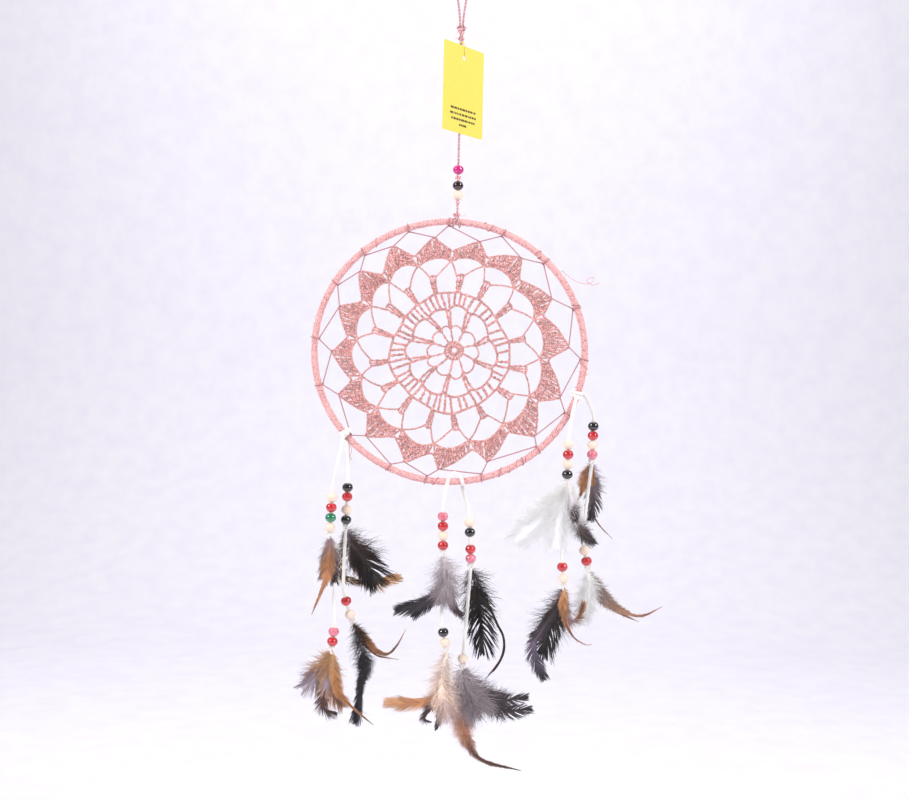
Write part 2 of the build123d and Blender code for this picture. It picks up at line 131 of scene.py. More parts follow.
class Shader:
    """A material's node tree, with short calls for the nodes that these materials share."""

    def __init__(self, name, roughness=0.6):
        self.material = bpy.data.materials.new(name)
        self.material.use_nodes = True
        self.tree = self.material.node_tree
        self.surface = self.tree.nodes["Principled BSDF"]
        self.surface.inputs["Roughness"].default_value = roughness
        self.coordinates = self.tree.nodes.new("ShaderNodeTexCoord").outputs["Object"]

    def link(self, source, socket):
        self.tree.links.new(source, socket)

    def number(self, name):
        """A number that the mesh holds at each point."""
        node = self.tree.nodes.new("ShaderNodeAttribute")
        node.attribute_name = name
        return node.outputs["Fac"]

    def noise(self, scale, detail=2.0, stretch=(1, 1, 1)):
        mapping = self.tree.nodes.new("ShaderNodeMapping")
        mapping.inputs["Scale"].default_value = stretch
        self.link(self.coordinates, mapping.inputs["Vector"])
        node = self.tree.nodes.new("ShaderNodeTexNoise")
        node.inputs["Scale"].default_value = scale
        node.inputs["Detail"].default_value = detail
        self.link(mapping.outputs["Vector"], node.inputs["Vector"])
        return node.outputs["Fac"]

    def math(self, operation, first, second):
        node = self.tree.nodes.new("ShaderNodeMath")
        node.operation = operation
        for socket, value in zip(node.inputs, (first, second)):
            if isinstance(value, (int, float)):
                socket.default_value = value
            else:
                self.link(value, socket)
        return node.outputs["Value"]

    def spread(self, value, low, high):
        """A value from 0 to 1 as one from low to high."""
        node = self.tree.nodes.new("ShaderNodeMapRange")
        node.inputs["To Min"].default_value, node.inputs["To Max"].default_value = low, high
        self.link(value, node.inputs["Value"])
        return node.outputs["Result"]

    def ramp(self, value, stops):
        node = self.tree.nodes.new("ShaderNodeValToRGB")
        elements = node.color_ramp.elements
        while len(elements) < len(stops):
            elements.new(0.5)
        for element, (place, tone) in zip(elements, stops):
            element.position, element.color = place, linear(tone)
        self.link(value, node.inputs["Fac"])
        return node.outputs["Color"]

    def mix(self, factor, first, second, blend="MIX"):
        """Two colours mixed; each is a socket or a hex code."""
        node = self.tree.nodes.new("ShaderNodeMix")
        node.data_type, node.blend_type = "RGBA", blend
        for index, value in ((0, factor), (6, first), (7, second)):
            if isinstance(value, (int, float)):
                node.inputs[index].default_value = value
            elif isinstance(value, str):
                node.inputs[index].default_value = linear(value)
            else:
                self.link(value, node.inputs[index])
        return node.outputs[2]

    def brightness(self, tone, value):
        """A colour made lighter or darker by a number about 1."""
        node = self.tree.nodes.new("ShaderNodeHueSaturation")
        self.link(tone, node.inputs["Color"])
        self.link(value, node.inputs["Value"])
        return node.outputs["Color"]

    def base(self, tone):
        self.link(tone, self.surface.inputs["Base Color"])

    def rough(self, value):
        self.link(value, self.surface.inputs["Roughness"])

    def bump(self, height, depth_mm, strength=1.0):
        node = self.tree.nodes.new("ShaderNodeBump")
        node.inputs["Distance"].default_value = depth_mm * MM
        node.inputs["Strength"].default_value = strength
        self.link(height, node.inputs["Height"])
        self.link(node.outputs["Normal"], self.surface.inputs["Normal"])

    def sheen(self, weight, roughness=0.5):
        self.surface.inputs["Sheen Weight"].default_value = weight
        self.surface.inputs["Sheen Roughness"].default_value = roughness


def yarn_material(name, shaded_groove, middle, crest, mottle=0.1):
    """Spun cotton with a fuzz of fine fibres: painted shade darkens the grooves between its plies and painted
    light brightens their crests.
    """
    yarn = Shader(name)
    fibres = yarn.noise(1800, detail=4, stretch=(1, 1, 0.5))
    blotches = yarn.noise(90, detail=2)
    slubs = yarn.noise(750, detail=2)
    # painted shade and light: the colour runs from the groove tone where the plies' number is low to the
    # crest tone where it is high
    level = yarn.math("ADD", yarn.number("crest"), yarn.spread(fibres, -0.22, 0.22))
    tone = yarn.ramp(level, ((0.05, shaded_groove), (0.5, middle), (0.95, crest)))
    tone = yarn.brightness(tone, yarn.spread(blotches, 0.9, 1.1))
    tone = yarn.brightness(tone, yarn.spread(slubs, 1 - 2.2 * mottle, 1 + 2.2 * mottle))
    tone = yarn.brightness(tone, yarn.spread(yarn.number("shade"), 0.8, 1.18))
    yarn.base(tone)
    yarn.rough(yarn.spread(fibres, 0.72, 0.95))
    yarn.bump(fibres, 0.12)
    yarn.sheen(0.3)
    return yarn.material


def suede_material():
    """White suede: a short nap with a faint cream tint and scuffed spots."""
    suede = Shader("white_suede")
    nap = suede.noise(1400, detail=5)
    scuffs = suede.noise(160, detail=2)
    tone = suede.ramp(nap, ((0.3, "f3eeea"), (0.6, "fffdfb")))
    suede.base(suede.mix(suede.spread(scuffs, 0.0, 0.4), tone, "fbf3ea"))
    suede.rough(suede.spread(nap, 0.8, 0.98))
    suede.bump(nap, 0.12)
    suede.sheen(0.35)
    return suede.material


def wood_material():
    """Bare beech: cream with fine darker growth rings and pores."""
    wood = Shader("natural_wood")
    grain = wood.tree.nodes.new("ShaderNodeTexWave")
    grain.wave_type = "RINGS"
    grain.inputs["Scale"].default_value = 300
    grain.inputs["Distortion"].default_value = 3
    grain.inputs["Detail"].default_value = 3
    wood.link(wood.coordinates, grain.inputs["Vector"])
    pores = wood.noise(900, detail=3, stretch=(1, 1, 0.25))
    tone = wood.ramp(grain.outputs["Fac"], ((0.1, "f6dec8"), (0.75, "fff0e3")))
    wood.base(wood.mix(wood.spread(pores, 0.0, 0.3), tone, "eccdb0"))
    wood.rough(wood.spread(pores, 0.42, 0.6))
    wood.bump(pores, 0.05)
    wood.surface.inputs["Coat Weight"].default_value = 0.25
    wood.surface.inputs["Coat Roughness"].default_value = 0.2
    return wood.material


def paint_material(name, tone, deep):
    """Glossy paint on a turned bead: patches of a deeper tone, and bare wood worn through at the hole."""
    paint = Shader(name)
    patches = paint.noise(260, detail=3)
    orange_peel = paint.noise(900, detail=1)
    grit = paint.noise(2200, detail=2)
    coat = paint.ramp(patches, ((0.35, deep), (0.6, tone)))
    wear = paint.math("ADD", paint.number("worn"), paint.spread(grit, -0.3, 0.3))
    worn = paint.math("GREATER_THAN", wear, 0.62)
    paint.base(paint.mix(worn, coat, "e2c39a"))
    paint.rough(paint.spread(orange_peel, 0.12, 0.22))
    paint.bump(orange_peel, 0.006)
    paint.surface.inputs["Coat Weight"].default_value = 1.0
    paint.surface.inputs["Coat Roughness"].default_value = 0.12
    paint.surface.inputs["Coat IOR"].default_value = 1.65
    return paint.material


def card_material():
    """Bright yellow tag card, uncoated, with short fibres in it and a paler cut edge."""
    card = Shader("tag_card")
    fibres = card.noise(500, detail=4, stretch=(1, 1, 2.5))
    cloud = card.noise(25, detail=2)
    tone = card.ramp(fibres, ((0.35, "f2d957"), (0.65, "f8e263")))
    card.base(card.mix(card.spread(cloud, 0.0, 0.35), tone, "f8e678"))
    card.rough(card.spread(fibres, 0.45, 0.62))
    card.bump(fibres, 0.02)
    return card.material


def ink_material():
    """Printed ink that the card's fibres break up."""
    ink = Shader("tag_print")
    ink.base(ink.ramp(ink.noise(2500, detail=3), ((0.3, "2f2c1c"), (0.75, "6b6530"))))
    ink.surface.inputs["Roughness"].default_value = 0.6
    return ink.material


def wire_material():
    """Drawn steel wire with fine lengthwise marks."""
    wire = Shader("hoop_wire")
    marks = wire.noise(700, detail=3, stretch=(1, 4, 1))
    wire.base(wire.ramp(marks, ((0.3, "8d8f94"), (0.7, "b9bbc0"))))
    wire.rough(wire.spread(marks, 0.3, 0.5))
    wire.surface.inputs["Metallic"].default_value = 1.0
    return wire.material


def feather_material(name, stops, tips=None, bars=0, shades=(0.6, 1.35), rough=(0.36, 0.6)):
    """A feather's barbs: tones from root to tip, another tone at the barbs' ends, and its cross bars."""
    feather = Shader(name)
    along, across = feather.number("along"), feather.number("across")
    mottle = feather.noise(420, detail=3)
    place = feather.math("ADD", along, feather.spread(mottle, -0.07, 0.07))
    tone = feather.ramp(place, stops)
    if bars:
        rows, slant = feather.math("MULTIPLY", place, bars), feather.math("MULTIPLY", across, -0.8)
        slanted = feather.math("ADD", rows, slant)
        dark = feather.math("GREATER_THAN", feather.math("FRACT", slanted, 0), 0.52)
        tone = feather.mix(dark, tone, "3c2c26")
    if tips:
        edge = feather.math("POWER", across, 2.2)
        tone = feather.mix(feather.math("MULTIPLY", edge, 0.85), tone, tips)
    tone = feather.brightness(tone, feather.spread(feather.number("shade"), *shades))
    feather.base(tone)
    feather.rough(feather.spread(mottle, *rough))
    feather.bump(feather.noise(5000, detail=1), 0.03)
    feather.sheen(0.08, 0.35)
    return feather.material


MATERIALS = {
    # Yarn tones, from the painted shade in the grooves between plies, through the middle, to the painted
    # light on their crests.
    "pink_cord": yarn_material("pink_cord", "a8676c", "e9adb1", "fbd6d6", mottle=0.2),
    "pink_wrap": yarn_material("pink_wrap", "78383c", "e1999b", "fcc4c1", mottle=0.32),
    "pink_crochet": yarn_material("pink_crochet", "8d4c4c", "e6a29e", "ffdcd5", mottle=0.38),
    "pink_lacing": yarn_material("pink_lacing", "8f5157", "cb8b90", "eab5b8"),
    "tag_thread": yarn_material("tag_thread", "c3ae6a", "e8d88e", "fbf2bd"),
    "white_suede": suede_material(),
    "natural_wood": wood_material(),
    "magenta_paint": paint_material("magenta_paint", "e0178a", "b20a66"),
    "maroon_paint": paint_material("maroon_paint", "3c0818", "22040e"),
    "red_paint": paint_material("red_paint", "dd2a33", "b3141f"),
    "black_paint": paint_material("black_paint", "111019", "06050a"),
    "pink_paint": paint_material("pink_paint", "f08a9c", "de6a80"),
    "green_paint": paint_material("green_paint", "1f8f63", "116a48"),
    "tag_card": card_material(),
    "tag_print": ink_material(),
    "hoop_wire": wire_material(),
}


# ---------------------------------------------------------------- mesh tools
def random_for(name):
    """A random generator that depends only on a piece's name."""
    return np.random.default_rng(crc32(name.encode()))


def unit(vectors):
    return vectors / np.maximum(np.linalg.norm(vectors, axis=-1, keepdims=True), 1e-9)


def run_length(line):
    """How far along a line each of its points is."""
    return np.concatenate([[0], np.cumsum(np.linalg.norm(np.diff(line, axis=0), axis=1))])


def evenly(line, step):
    """The line again, with points about a step apart."""
    run = run_length(line)
    at = np.linspace(0, run[-1], max(3, ceil(run[-1] / step) + 1))
    return np.stack([np.interp(at, run, line[:, k]) for k in range(3)], axis=1)


def curve_through(points, step, closed=False):
    """A smooth line through the points, with about one point per step."""
    p = np.asarray(points, float)
    p = np.vstack([p[-1], p, p[:2]]) if closed else np.vstack([2 * p[0] - p[1], p, 2 * p[-1] - p[-2]])
    spans = []
    for a, b, c, d in zip(p, p[1:], p[2:], p[3:]):
        count = max(2, ceil(np.linalg.norm(c - b) / step))
        t = np.arange(count)[:, None] / count
        square, cube = 2 * a - 5 * b + 4 * c - d, 3 * b - a - 3 * c + d
        spans.append((2 * b + (c - a) * t + square * t**2 + cube * t**3) / 2)
    if not closed:
        spans.append(p[-2:-1])
    return np.concatenate(spans)


def tangents(line, closed=False):
    if closed:
        return unit(np.roll(line, -1, axis=0) - np.roll(line, 1, axis=0))
    return unit(np.gradient(line, axis=0))


def carried_normals(line, start=(0, -1, 0)):
    """Directions across a line, carried along it without twist."""
    ahead = tangents(line)
    normal = np.asarray(start, float)
    if abs(normal @ ahead[0]) > 0.9:
        normal = np.array([1.0, 0, 0])
    normals = np.empty_like(line)
    for i, t in enumerate(ahead):
        normal = normal - (normal @ t) * t
        normal = normal / np.linalg.norm(normal)
        normals[i] = normal
    return normals


def circle_section(sides):
    angle = np.linspace(0, 2 * pi, sides, endpoint=False)
    return np.stack([np.cos(angle), np.sin(angle)], axis=1)


def flat_section(width, thickness):
    """A flat lace's section: straight faces and rounded edges. The first number is along the normal."""
    w, t = width / 2, thickness / 2
    corner = 0.6 * t
    return np.array([
        (t, 0), (t, w - corner), (0.5 * t, w - 0.2 * corner), (-0.5 * t, w - 0.2 * corner), (-t, w - corner),
        (-t, 0), (-t, corner - w), (-0.5 * t, 0.2 * corner - w), (0.5 * t, 0.2 * corner - w), (t, corner - w),
    ])


class Piece:
    """Points, faces and per-point numbers of one piece, gathered before its mesh is made."""

    # The first number is painted light and shade on yarn: 1 on the lit crests of its plies, 0 in the shaded
    # grooves between them.
    NUMBERS = ("crest", "shade", "along", "across", "worn")

    def __init__(self, name):
        self.name = name
        self.random = random_for(name)
        self.points, self.faces, self.slots, self.size = [], [], [], 0
        self.numbers = {number: [] for number in self.NUMBERS}

    def add(self, points, faces, slot=0, **numbers):
        points = np.asarray(points, float).reshape(-1, 3)
        for group in faces:
            self.faces.append(np.asarray(group, int) + self.size)
            self.slots.append(np.full(len(group), slot))
        for number in self.NUMBERS:
            # a piece that sets no light number is coloured as a lit crest, with no painted shade
            value = np.asarray(numbers.get(number, 1.0 if number == "crest" else 0.0), float)
            flat = value.reshape(-1) if value.ndim else value
            self.numbers[number].append(np.broadcast_to(flat, len(points)))
        self.points.append(points)
        self.size += len(points)

    def sweep(self, line, section, normals=None, closed=False, slot=0, **numbers):
        """A solid along a line. Its section is (sides, 2), or (points, sides, 2) where it changes."""
        ahead = tangents(line, closed)
        if normals is None:
            normals = carried_normals(line)
        normals = unit(normals - (normals * ahead).sum(1, keepdims=True) * ahead)
        beside = np.cross(ahead, normals)
        section = np.broadcast_to(section, (len(line), *section.shape[-2:]))
        points = line[:, None] + section[..., :1] * normals[:, None] + section[..., 1:] * beside[:, None]
        count, sides = section.shape[:2]
        ring = np.arange(count if closed else count - 1)[:, None] * sides
        ahead_ring = (ring + sides) % (count * sides)
        side = np.arange(sides)[None]
        after = (side + 1) % sides
        quads = np.stack([ring + side, ring + after, ahead_ring + after, ahead_ring + side], -1)
        quads = quads.reshape(-1, 4)
        faces = [quads]
        if not closed:
            faces.append(np.arange(sides)[::-1][None])
            faces.append((np.arange(sides) + (count - 1) * sides)[None])
        self.add(points, faces, slot, **numbers)

    def yarn(self, line, radius, ply=1.7, depth=0.16, sides=8, closed=False, normals=None, flat=1.0,
             shaded_groove=0.0, slot=0):
        """One yarn: two plies twisted together show as two lobes that turn. Painted shade darkens the grooves
        between the lobes and, by the groove share, its sides.
        """
        run = run_length(line)
        angle = np.linspace(0, 2 * pi, sides, endpoint=False)[None]
        lobe = np.cos(2 * (angle - pi * run[:, None] / ply))
        reach = np.asarray(radius, float).reshape(-1, 1) * (1 + depth * lobe)
        section = np.stack([reach * np.cos(angle) * flat, reach * np.sin(angle)], axis=-1)
        # painted light and shade: high on the lobes' lit crests, low in the grooves between them and, by the
        # groove share, towards the sides
        crest = (1 - shaded_groove) * (lobe + 1) / 2 + shaded_groove * np.clip((np.cos(angle) - 0.2) / 0.55, 0, 1)
        self.sweep(line, section, normals, closed, slot, crest=crest, shade=self.random.uniform(0, 1))

    def cord(self, line, plies=2, offset=0.46, radius=0.5, pitch=5.2, slot=0):
        """Plies twisted round each other."""
        ahead, normals = tangents(line), carried_normals(line)
        beside, run = np.cross(ahead, normals), run_length(line)
        for ply in range(plies):
            turn = 2 * pi * (run / pitch + ply / plies)[:, None]
            strand = line + offset * (np.cos(turn) * normals + np.sin(turn) * beside)
            self.yarn(strand, radius, ply=1.5, slot=slot)

    def make(self, body, slot, *materials, replaces=()):
        mesh = bpy.data.meshes.new(self.name)
        points = np.concatenate(self.points) * MM
        sizes = np.concatenate([np.full(len(f), f.shape[1]) for f in self.faces])
        corners = np.concatenate([f.ravel() for f in self.faces])
        mesh.vertices.add(len(points))
        mesh.vertices.foreach_set("co", points.astype(np.float32).ravel())
        mesh.loops.add(len(corners))
        mesh.loops.foreach_set("vertex_index", corners.astype(np.int32))
        mesh.polygons.add(len(sizes))
        mesh.polygons.foreach_set("loop_start", np.concatenate([[0], np.cumsum(sizes)[:-1]]).astype(np.int32))
        mesh.polygons.foreach_set("material_index", np.concatenate(self.slots).astype(np.int32))
        mesh.polygons.foreach_set("use_smooth", np.ones(len(sizes), bool))
        mesh.update(calc_edges=True)
        for number, values in self.numbers.items():
            attribute = mesh.attributes.new(number, "FLOAT", "POINT")
            attribute.data.foreach_set("value", np.concatenate(values).astype(np.float32))
        for material in materials or (slot,):
            mesh.materials.append(MATERIALS[material])
        made = bpy.data.objects.new(self.name, mesh)
        bpy.context.scene.collection.objects.link(made)
        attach(made, body)
        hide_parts(*replaces)
        return made


def keep_cad_shape(node, material):
    """Gives a material to a node's own CAD mesh, which stays as it is."""
    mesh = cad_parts[node].data
    mesh.materials.clear()
    mesh.materials.append(MATERIALS[material])


def route_line(route, step):
    """The smooth line of a cord's route. The route is in metres, the line in millimetres, a step apart."""
    curve = bpy.data.curves.new("route", "CURVE")
    curve.dimensions = "3D"
    spline = curve.splines.new("NURBS")
    spline.points.add(len(route) - 1)
    for point, place in zip(spline.points, route):
        point.co = (*place, 1)
    spline.order_u = NURBS_ORDER
    spline.use_endpoint_u = True
    spline.resolution_u = 32
    holder = bpy.data.objects.new("route", curve)
    mesh = bpy.data.meshes.new_from_object(holder)
    line = np.array([v.co for v in mesh.vertices]) / MM
    bpy.data.objects.remove(holder)
    bpy.data.curves.remove(curve)
    bpy.data.meshes.remove(mesh)
    return evenly(line, step)


def declare_cord(line):
    """Scales a cord's line from millimetres to metres; nothing is done with the result."""
    line = line * MM


def overhand(centre, size, count=70, lean=0.0):
    """A closed overhand knot's line, about its centre; lean turns it about the vertical."""
    t = np.linspace(0, 2 * pi, count, endpoint=False)
    x, z, y = np.sin(t) + 2 * np.sin(2 * t), np.cos(t) - 2 * np.cos(2 * t), -np.sin(3 * t)
    turn = radians(lean)
    x, y = x * cos(turn) - y * sin(turn), x * sin(turn) + y * cos(turn)
    return np.asarray(centre, float) + np.stack([x * size[0], y * size[1], z * size[2]], axis=1) / 3


def add_fray(piece, root, direction, length, count, spread=0.35, radius=0.09, slot=0):
    """The loose fibres of a cut end."""
    for _ in range(count):
        way = unit(np.asarray(direction, float) + piece.random.normal(0, spread, 3))
        bend = piece.random.normal(0, 0.5, 3)
        reach = length * piece.random.uniform(0.5, 1.1)
        line = curve_through([root, root + way * reach * 0.5 + bend * 0.3, root + way * reach + bend], 0.8)
        thin = radius * np.linspace(1, 0.3, len(line))
        section = circle_section(4)[None] * thin[:, None, None]
        piece.sweep(line, section, shade=piece.random.uniform(), slot=slot)


# ---------------------------------------------------------------- hanging loop and cord
# The cord's two routes (in metres) and the heights of its knots.
LOOP_ROUTE = [
    (-0.00105, 0, -0.04165), (-0.00105, 0, -0.034), (-0.007, 0, 0.00095),
    (0.007, 0, 0.00095), (0.00105, 0, -0.034), (0.00105, 0, -0.04165),
]
CORD_ROUTE = [(0, 0, -0.04835), (0, 0, -0.06), (0, 0, -0.1), (0, 0, -0.14), (0, 0, -0.17), (0, 0, -0.18185)]
LOOP_KNOT_Z = -45.0
SMALL_KNOTS_Z = (-51.6, -154.2, -172.2)


def make_cords():
    line = route_line(LOOP_ROUTE, 0.35)
    piece = Piece("hanging_loop_cord")
    piece.cord(line)
    made = piece.make("hanging_loop", "pink_cord", replaces=["hanging_loop"])
    declare_cord(line)

    line = route_line(CORD_ROUTE, 0.35)
    piece = Piece("hanging_cord_twist")
    piece.cord(line)
    made = piece.make("cord", "pink_cord", replaces=["hanging_cord"])
    declare_cord(line)

    piece = Piece("loop_knot_tied")
    for shift, lean in ((1.0, 20), (-1.1, 75)):
        ring = overhand((0, 0, LOOP_KNOT_Z + shift), (3.0, 2.3, 3.1), lean=lean)
        piece.yarn(ring, 0.85, ply=2.6, depth=0.22, sides=10, closed=True)
    add_fray(piece, np.array([-1.8, -1.2, LOOP_KNOT_Z - 1.5]), (-1, -0.4, -0.5), 3.0, 12)
    add_fray(piece, np.array([1.8, -1.0, LOOP_KNOT_Z + 1.5]), (1, -0.4, 0.5), 2.2, 10)
    piece.make("loop_knot", "pink_cord", replaces=["loop_knot"])

    piece = Piece("cord_knots_tied")
    for knot, z in enumerate(SMALL_KNOTS_Z):
        ring = overhand((0, 0, z), (2.1, 1.7, 1.9), count=56, lean=40 * knot)
        piece.yarn(ring, 0.62, ply=2.0, depth=0.22, closed=True)
    add_fray(piece, np.array([-1.6, -0.8, SMALL_KNOTS_Z[0]]), (-1, -0.3, 0.15), 4.5, 14, spread=0.2)
    piece.make("cord", "pink_cord", replaces=["cord_knots"])


# ---------------------------------------------------------------- swing tag
# How far the card is turned about the cord (degrees) and stands from it, the thickness of the card and of its
# thread, and the print's rows: how far below the card's top each one is, and its width.
TAG_YAW = 49.0
TAG_OFFSET = 3.2
TAG_CARD = 0.4
TAG_THREAD = 0.5
PRINT_ROWS = ((-48.0, 28.0), (-51.9, 29.0), (-55.8, 26.5), (-59.6, 8.5))


def make_tag():
    """The card stays as the CAD has it. Its thread, the thread's collar and the print are made here."""
    across = np.array([cos(radians(TAG_YAW)), sin(radians(TAG_YAW)), 0])
    out = np.array([sin(radians(TAG_YAW)), -cos(radians(TAG_YAW)), 0])
    top_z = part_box("swing_tag")[1].z / MM
    keep_cad_shape("swing_tag", "tag_card")

    piece = Piece("tag_print_rows")
    face = out * (TAG_OFFSET + TAG_CARD / 2)
    ink_depth, row_height = 0.04, 1.6
    for drop, width in PRINT_ROWS:
        place = -width / 2
        while place < width / 2:
            dash = min(piece.random.uniform(0.8, 3.4), width / 2 - place)
            bottom = face + across * place + np.array([0, 0, top_z + drop])
            square = ((0, 0), (1, 0), (1, 1), (0, 1))
            corners = [bottom + across * u * dash + out * v * ink_depth + np.array([0, 0, w * row_height])
                       for w in (0, 1) for u, v in square]
            box = [(3, 2, 1, 0), (4, 5, 6, 7), (0, 1, 5, 4), (1, 2, 6, 5), (2, 3, 7, 6), (3, 0, 4, 7)]
            piece.add(corners, [box])
            place += dash + piece.random.uniform(0.45, 0.8)
    made = piece.make("tag", "tag_print")
    made.data.polygons.foreach_set("use_smooth", [False] * len(made.data.polygons))

    collar_z = (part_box("tag_collar")[0].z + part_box("tag_collar")[1].z) / 2 / MM
    radius, wraps, pitch = 1.25, 3.3, 0.42
    turn = np.linspace(0, wraps * 2 * pi, 90)
    rise = collar_z + pitch * (turn / (2 * pi) - wraps / 2)
    helix = np.stack([radius * np.cos(turn), radius * np.sin(turn), rise], axis=1)
    piece = Piece("tag_collar_thread")
    piece.yarn(helix, TAG_THREAD / 2, ply=0.9)
    knot = overhand((1.2, -1.5, collar_z), (0.9, 0.8, 0.9), count=40)
    piece.yarn(knot, TAG_THREAD / 2, ply=0.9, closed=True)
    piece.make("tag_collar", "tag_thread", replaces=["tag_collar"])

    loop_low, loop_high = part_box("tag_loop")
    bottom, top = loop_low.z / MM + TAG_THREAD / 2, loop_high.z / MM - TAG_THREAD / 2
    middle = out * TAG_OFFSET
    ring = [middle + out * a + across * b + np.array([0, 0, z]) for a, b, z in (
        (0, 0.1, top), (0.85, 0.3, top - 2), (0.9, -0.2, (top + bottom) / 2), (0.8, 0.1, bottom + 1),
        (0, 0, bottom), (-0.8, -0.1, bottom + 1), (-0.8, 0.3, (top + bottom) / 2), (-0.85, -0.2, top - 2))]
    piece = Piece("tag_loop_thread")
    piece.yarn(curve_through(ring, 0.3, closed=True), TAG_THREAD / 2, ply=0.9, closed=True)
    piece.make("tag", "tag_thread", replaces=["tag_loop"])


# ---------------------------------------------------------------- hoop
HOOP_LOW, HOOP_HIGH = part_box("hoop_wrap")
HOOP_X, HOOP_Z = (HOOP_LOW.x + HOOP_HIGH.x) / 2 / MM, (HOOP_LOW.z + HOOP_HIGH.z) / 2 / MM
WRAP_RADIUS = (HOOP_HIGH.y - HOOP_LOW.y) / 2 / MM
HALF_WIDTH = (HOOP_HIGH.x - HOOP_LOW.x) / 2 / MM - WRAP_RADIUS
HALF_HEIGHT = (HOOP_HIGH.z - HOOP_LOW.z) / 2 / MM - WRAP_RADIUS


def hoop_ring(count):
    """The hoop's centreline, clockwise from the top, and the way out at each point."""
    shift = (HALF_WIDTH - HALF_HEIGHT) / (2 - 2**0.5)
    side, top = HALF_WIDTH - shift, HALF_HEIGHT + shift
    angle = np.linspace(0, 2 * pi, 4 * 400, endpoint=False)
    quarter = np.floor((angle + pi / 4) / (pi / 2)).astype(int) % 4
    centres = np.array([(0, -shift), (shift, 0), (0, shift), (-shift, 0)])[quarter]
    reach = np.array([top, side, top, side])[quarter]
    out = np.stack([np.sin(angle), 0 * angle, np.cos(angle)], axis=1)
    points = out * reach[:, None] + np.stack([centres[:, 0], 0 * angle, centres[:, 1]], axis=1)
    points += np.array([HOOP_X, 0, HOOP_Z])
    whole = np.vstack([points, points[:1]])
    run = run_length(whole)
    at = np.linspace(0, run[-1], count, endpoint=False)
    wide_out = np.vstack([out, out[:1]])
    pick = [np.interp(at, run, whole[:, k]) for k in range(3)]
    pick_out = [np.interp(at, run, wide_out[:, k]) for k in range(3)]
    return np.stack(pick, axis=1), unit(np.stack(pick_out, axis=1)), run[-1]


RING_POINTS = 7200
RING, RING_OUT, RING_LENGTH = hoop_ring(RING_POINTS)


def around_hoop(share, angle, radius):
    """Points round the hoop's section, at a share of the way round it. Angles turn to the back."""
    index = np.round(np.asarray(share) % 1 * len(RING)).astype(int) % len(RING)
    turn = np.asarray(angle)[..., None]
    way = np.cos(turn) * RING_OUT[index] + np.sin(turn) * np.array([0, 1.0, 0])
    return RING[index] + np.asarray(radius)[..., None] * way


def nearest_share(x, z):
    """How far round the hoop a place beside it is."""
    return float(np.hypot(RING[:, 0] - x, RING[:, 2] - z).argmin()) / len(RING)


def make_hoop():
    """The wire stays as the CAD has it. The yarn wound round it, its loose turns and its fibres are made."""
    keep_cad_shape("hoop_core", "hoop_wire")

    piece = Piece("hoop_wrap_yarn")
    turns, per_turn, thick, width = 350, 18, 0.62, 0.98
    turn = np.arange(turns * per_turn) / per_turn
    drift = 0.35 * np.sin(turn * 0.31) + 0.3 * np.sin(turn * 0.083 + 1) + 0.12 * np.sin(turn * 1.7)
    lift = 0.07 * np.sin(turn * 0.47) + 0.06 * np.sin(turn * 1.13 + 2)
    share = (turn + drift) / turns
    angle = 2 * pi * turn
    radius = WRAP_RADIUS - thick + lift + 0 * angle
    line = around_hoop(share, angle, radius)
    index = np.round(share % 1 * len(RING)).astype(int) % len(RING)
    line += 0.9 * np.cos(angle)[:, None] * np.cross(np.array([0, 1.0, 0]), RING_OUT[index])
    normals = line - RING[index]
    # the wrap's turns get painted shade on their sides, where neighbouring turns meet
    piece.yarn(line, width, ply=2.4, depth=0.1, closed=True, normals=normals, flat=0.62, shaded_groove=0.7)
    loose_turns = 9
    for _ in range(loose_turns):
        start = piece.random.uniform(0, 1)
        over = np.linspace(0, 2.2 * pi, 26)
        slant = start + np.linspace(0, piece.random.uniform(4, 9), 26) / RING_LENGTH
        loose = around_hoop(slant, over + piece.random.uniform(0, 6), np.full(26, WRAP_RADIUS + 0.15))
        piece.yarn(loose, 0.42, ply=2.0)
    add_fray(piece, around_hoop(0.275, -0.9, 2.9), (0.9, -0.2, 0.6), 5.0, 7)
    add_fray(piece, around_hoop(0.86, -0.6, 2.9), (-0.4, -0.3, 0.8), 3.5, 6)
    curl = [(78, -1.5, -221), (84, -2, -226), (91, -2.2, -229.6), (98, -2.6, -230.4), (102, -2.2, -227.4),
            (100.3, -1.6, -225.6), (96.6, -1.8, -228.4), (101, -2.3, -231.3), (106, -2.6, -229.8)]
    piece.yarn(curve_through(curl, 0.5), 0.22, ply=1.2)
    tail = [(-76.5, -3.2, -351.8), (-74, -4.2, -356), (-74.6, -4.6, -361), (-73.4, -4.4, -364.5)]
    piece.yarn(curve_through(tail, 0.5), 0.2, ply=1.2)
    piece.make("hoop", "pink_wrap", replaces=["hoop_wrap"])


def make_hitch():
    """The cord goes twice round the hoop and is knotted on top of it, with its cut ends to each side."""
    low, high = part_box("hoop_hitch")
    place = nearest_share((low.x + high.x) / 2 / MM, high.z / MM)
    piece = Piece("hoop_hitch_tied")
    for shift, lean in ((-1.9, 1.2), (0.7, -1.6)):
        over = np.linspace(0, 2 * pi, 40, endpoint=False)
        share = place + (shift + lean * np.cos(over)) / RING_LENGTH
        loop = around_hoop(share, over, np.full(40, WRAP_RADIUS + 0.85))
        piece.yarn(loop, 0.82, ply=2.6, depth=0.2, closed=True)
    top = around_hoop(place, 0.0, WRAP_RADIUS + 1.6)
    knot = overhand(top + np.array([-0.3, -0.4, 0.6]), (2.3, 2.0, 1.8), count=56)
    piece.yarn(knot, 0.7, ply=2.2, depth=0.22, closed=True)
    add_fray(piece, top + np.array([3.0, -1.2, -0.4]), (1, -0.15, 0.45), 6.5, 12, spread=0.22)
    add_fray(piece, top + np.array([-2.6, -1.6, 0.2]), (-1, -0.2, 0.5), 2.4, 8)
    piece.make("hoop_hitch", "pink_cord", replaces=["hoop_hitch"])


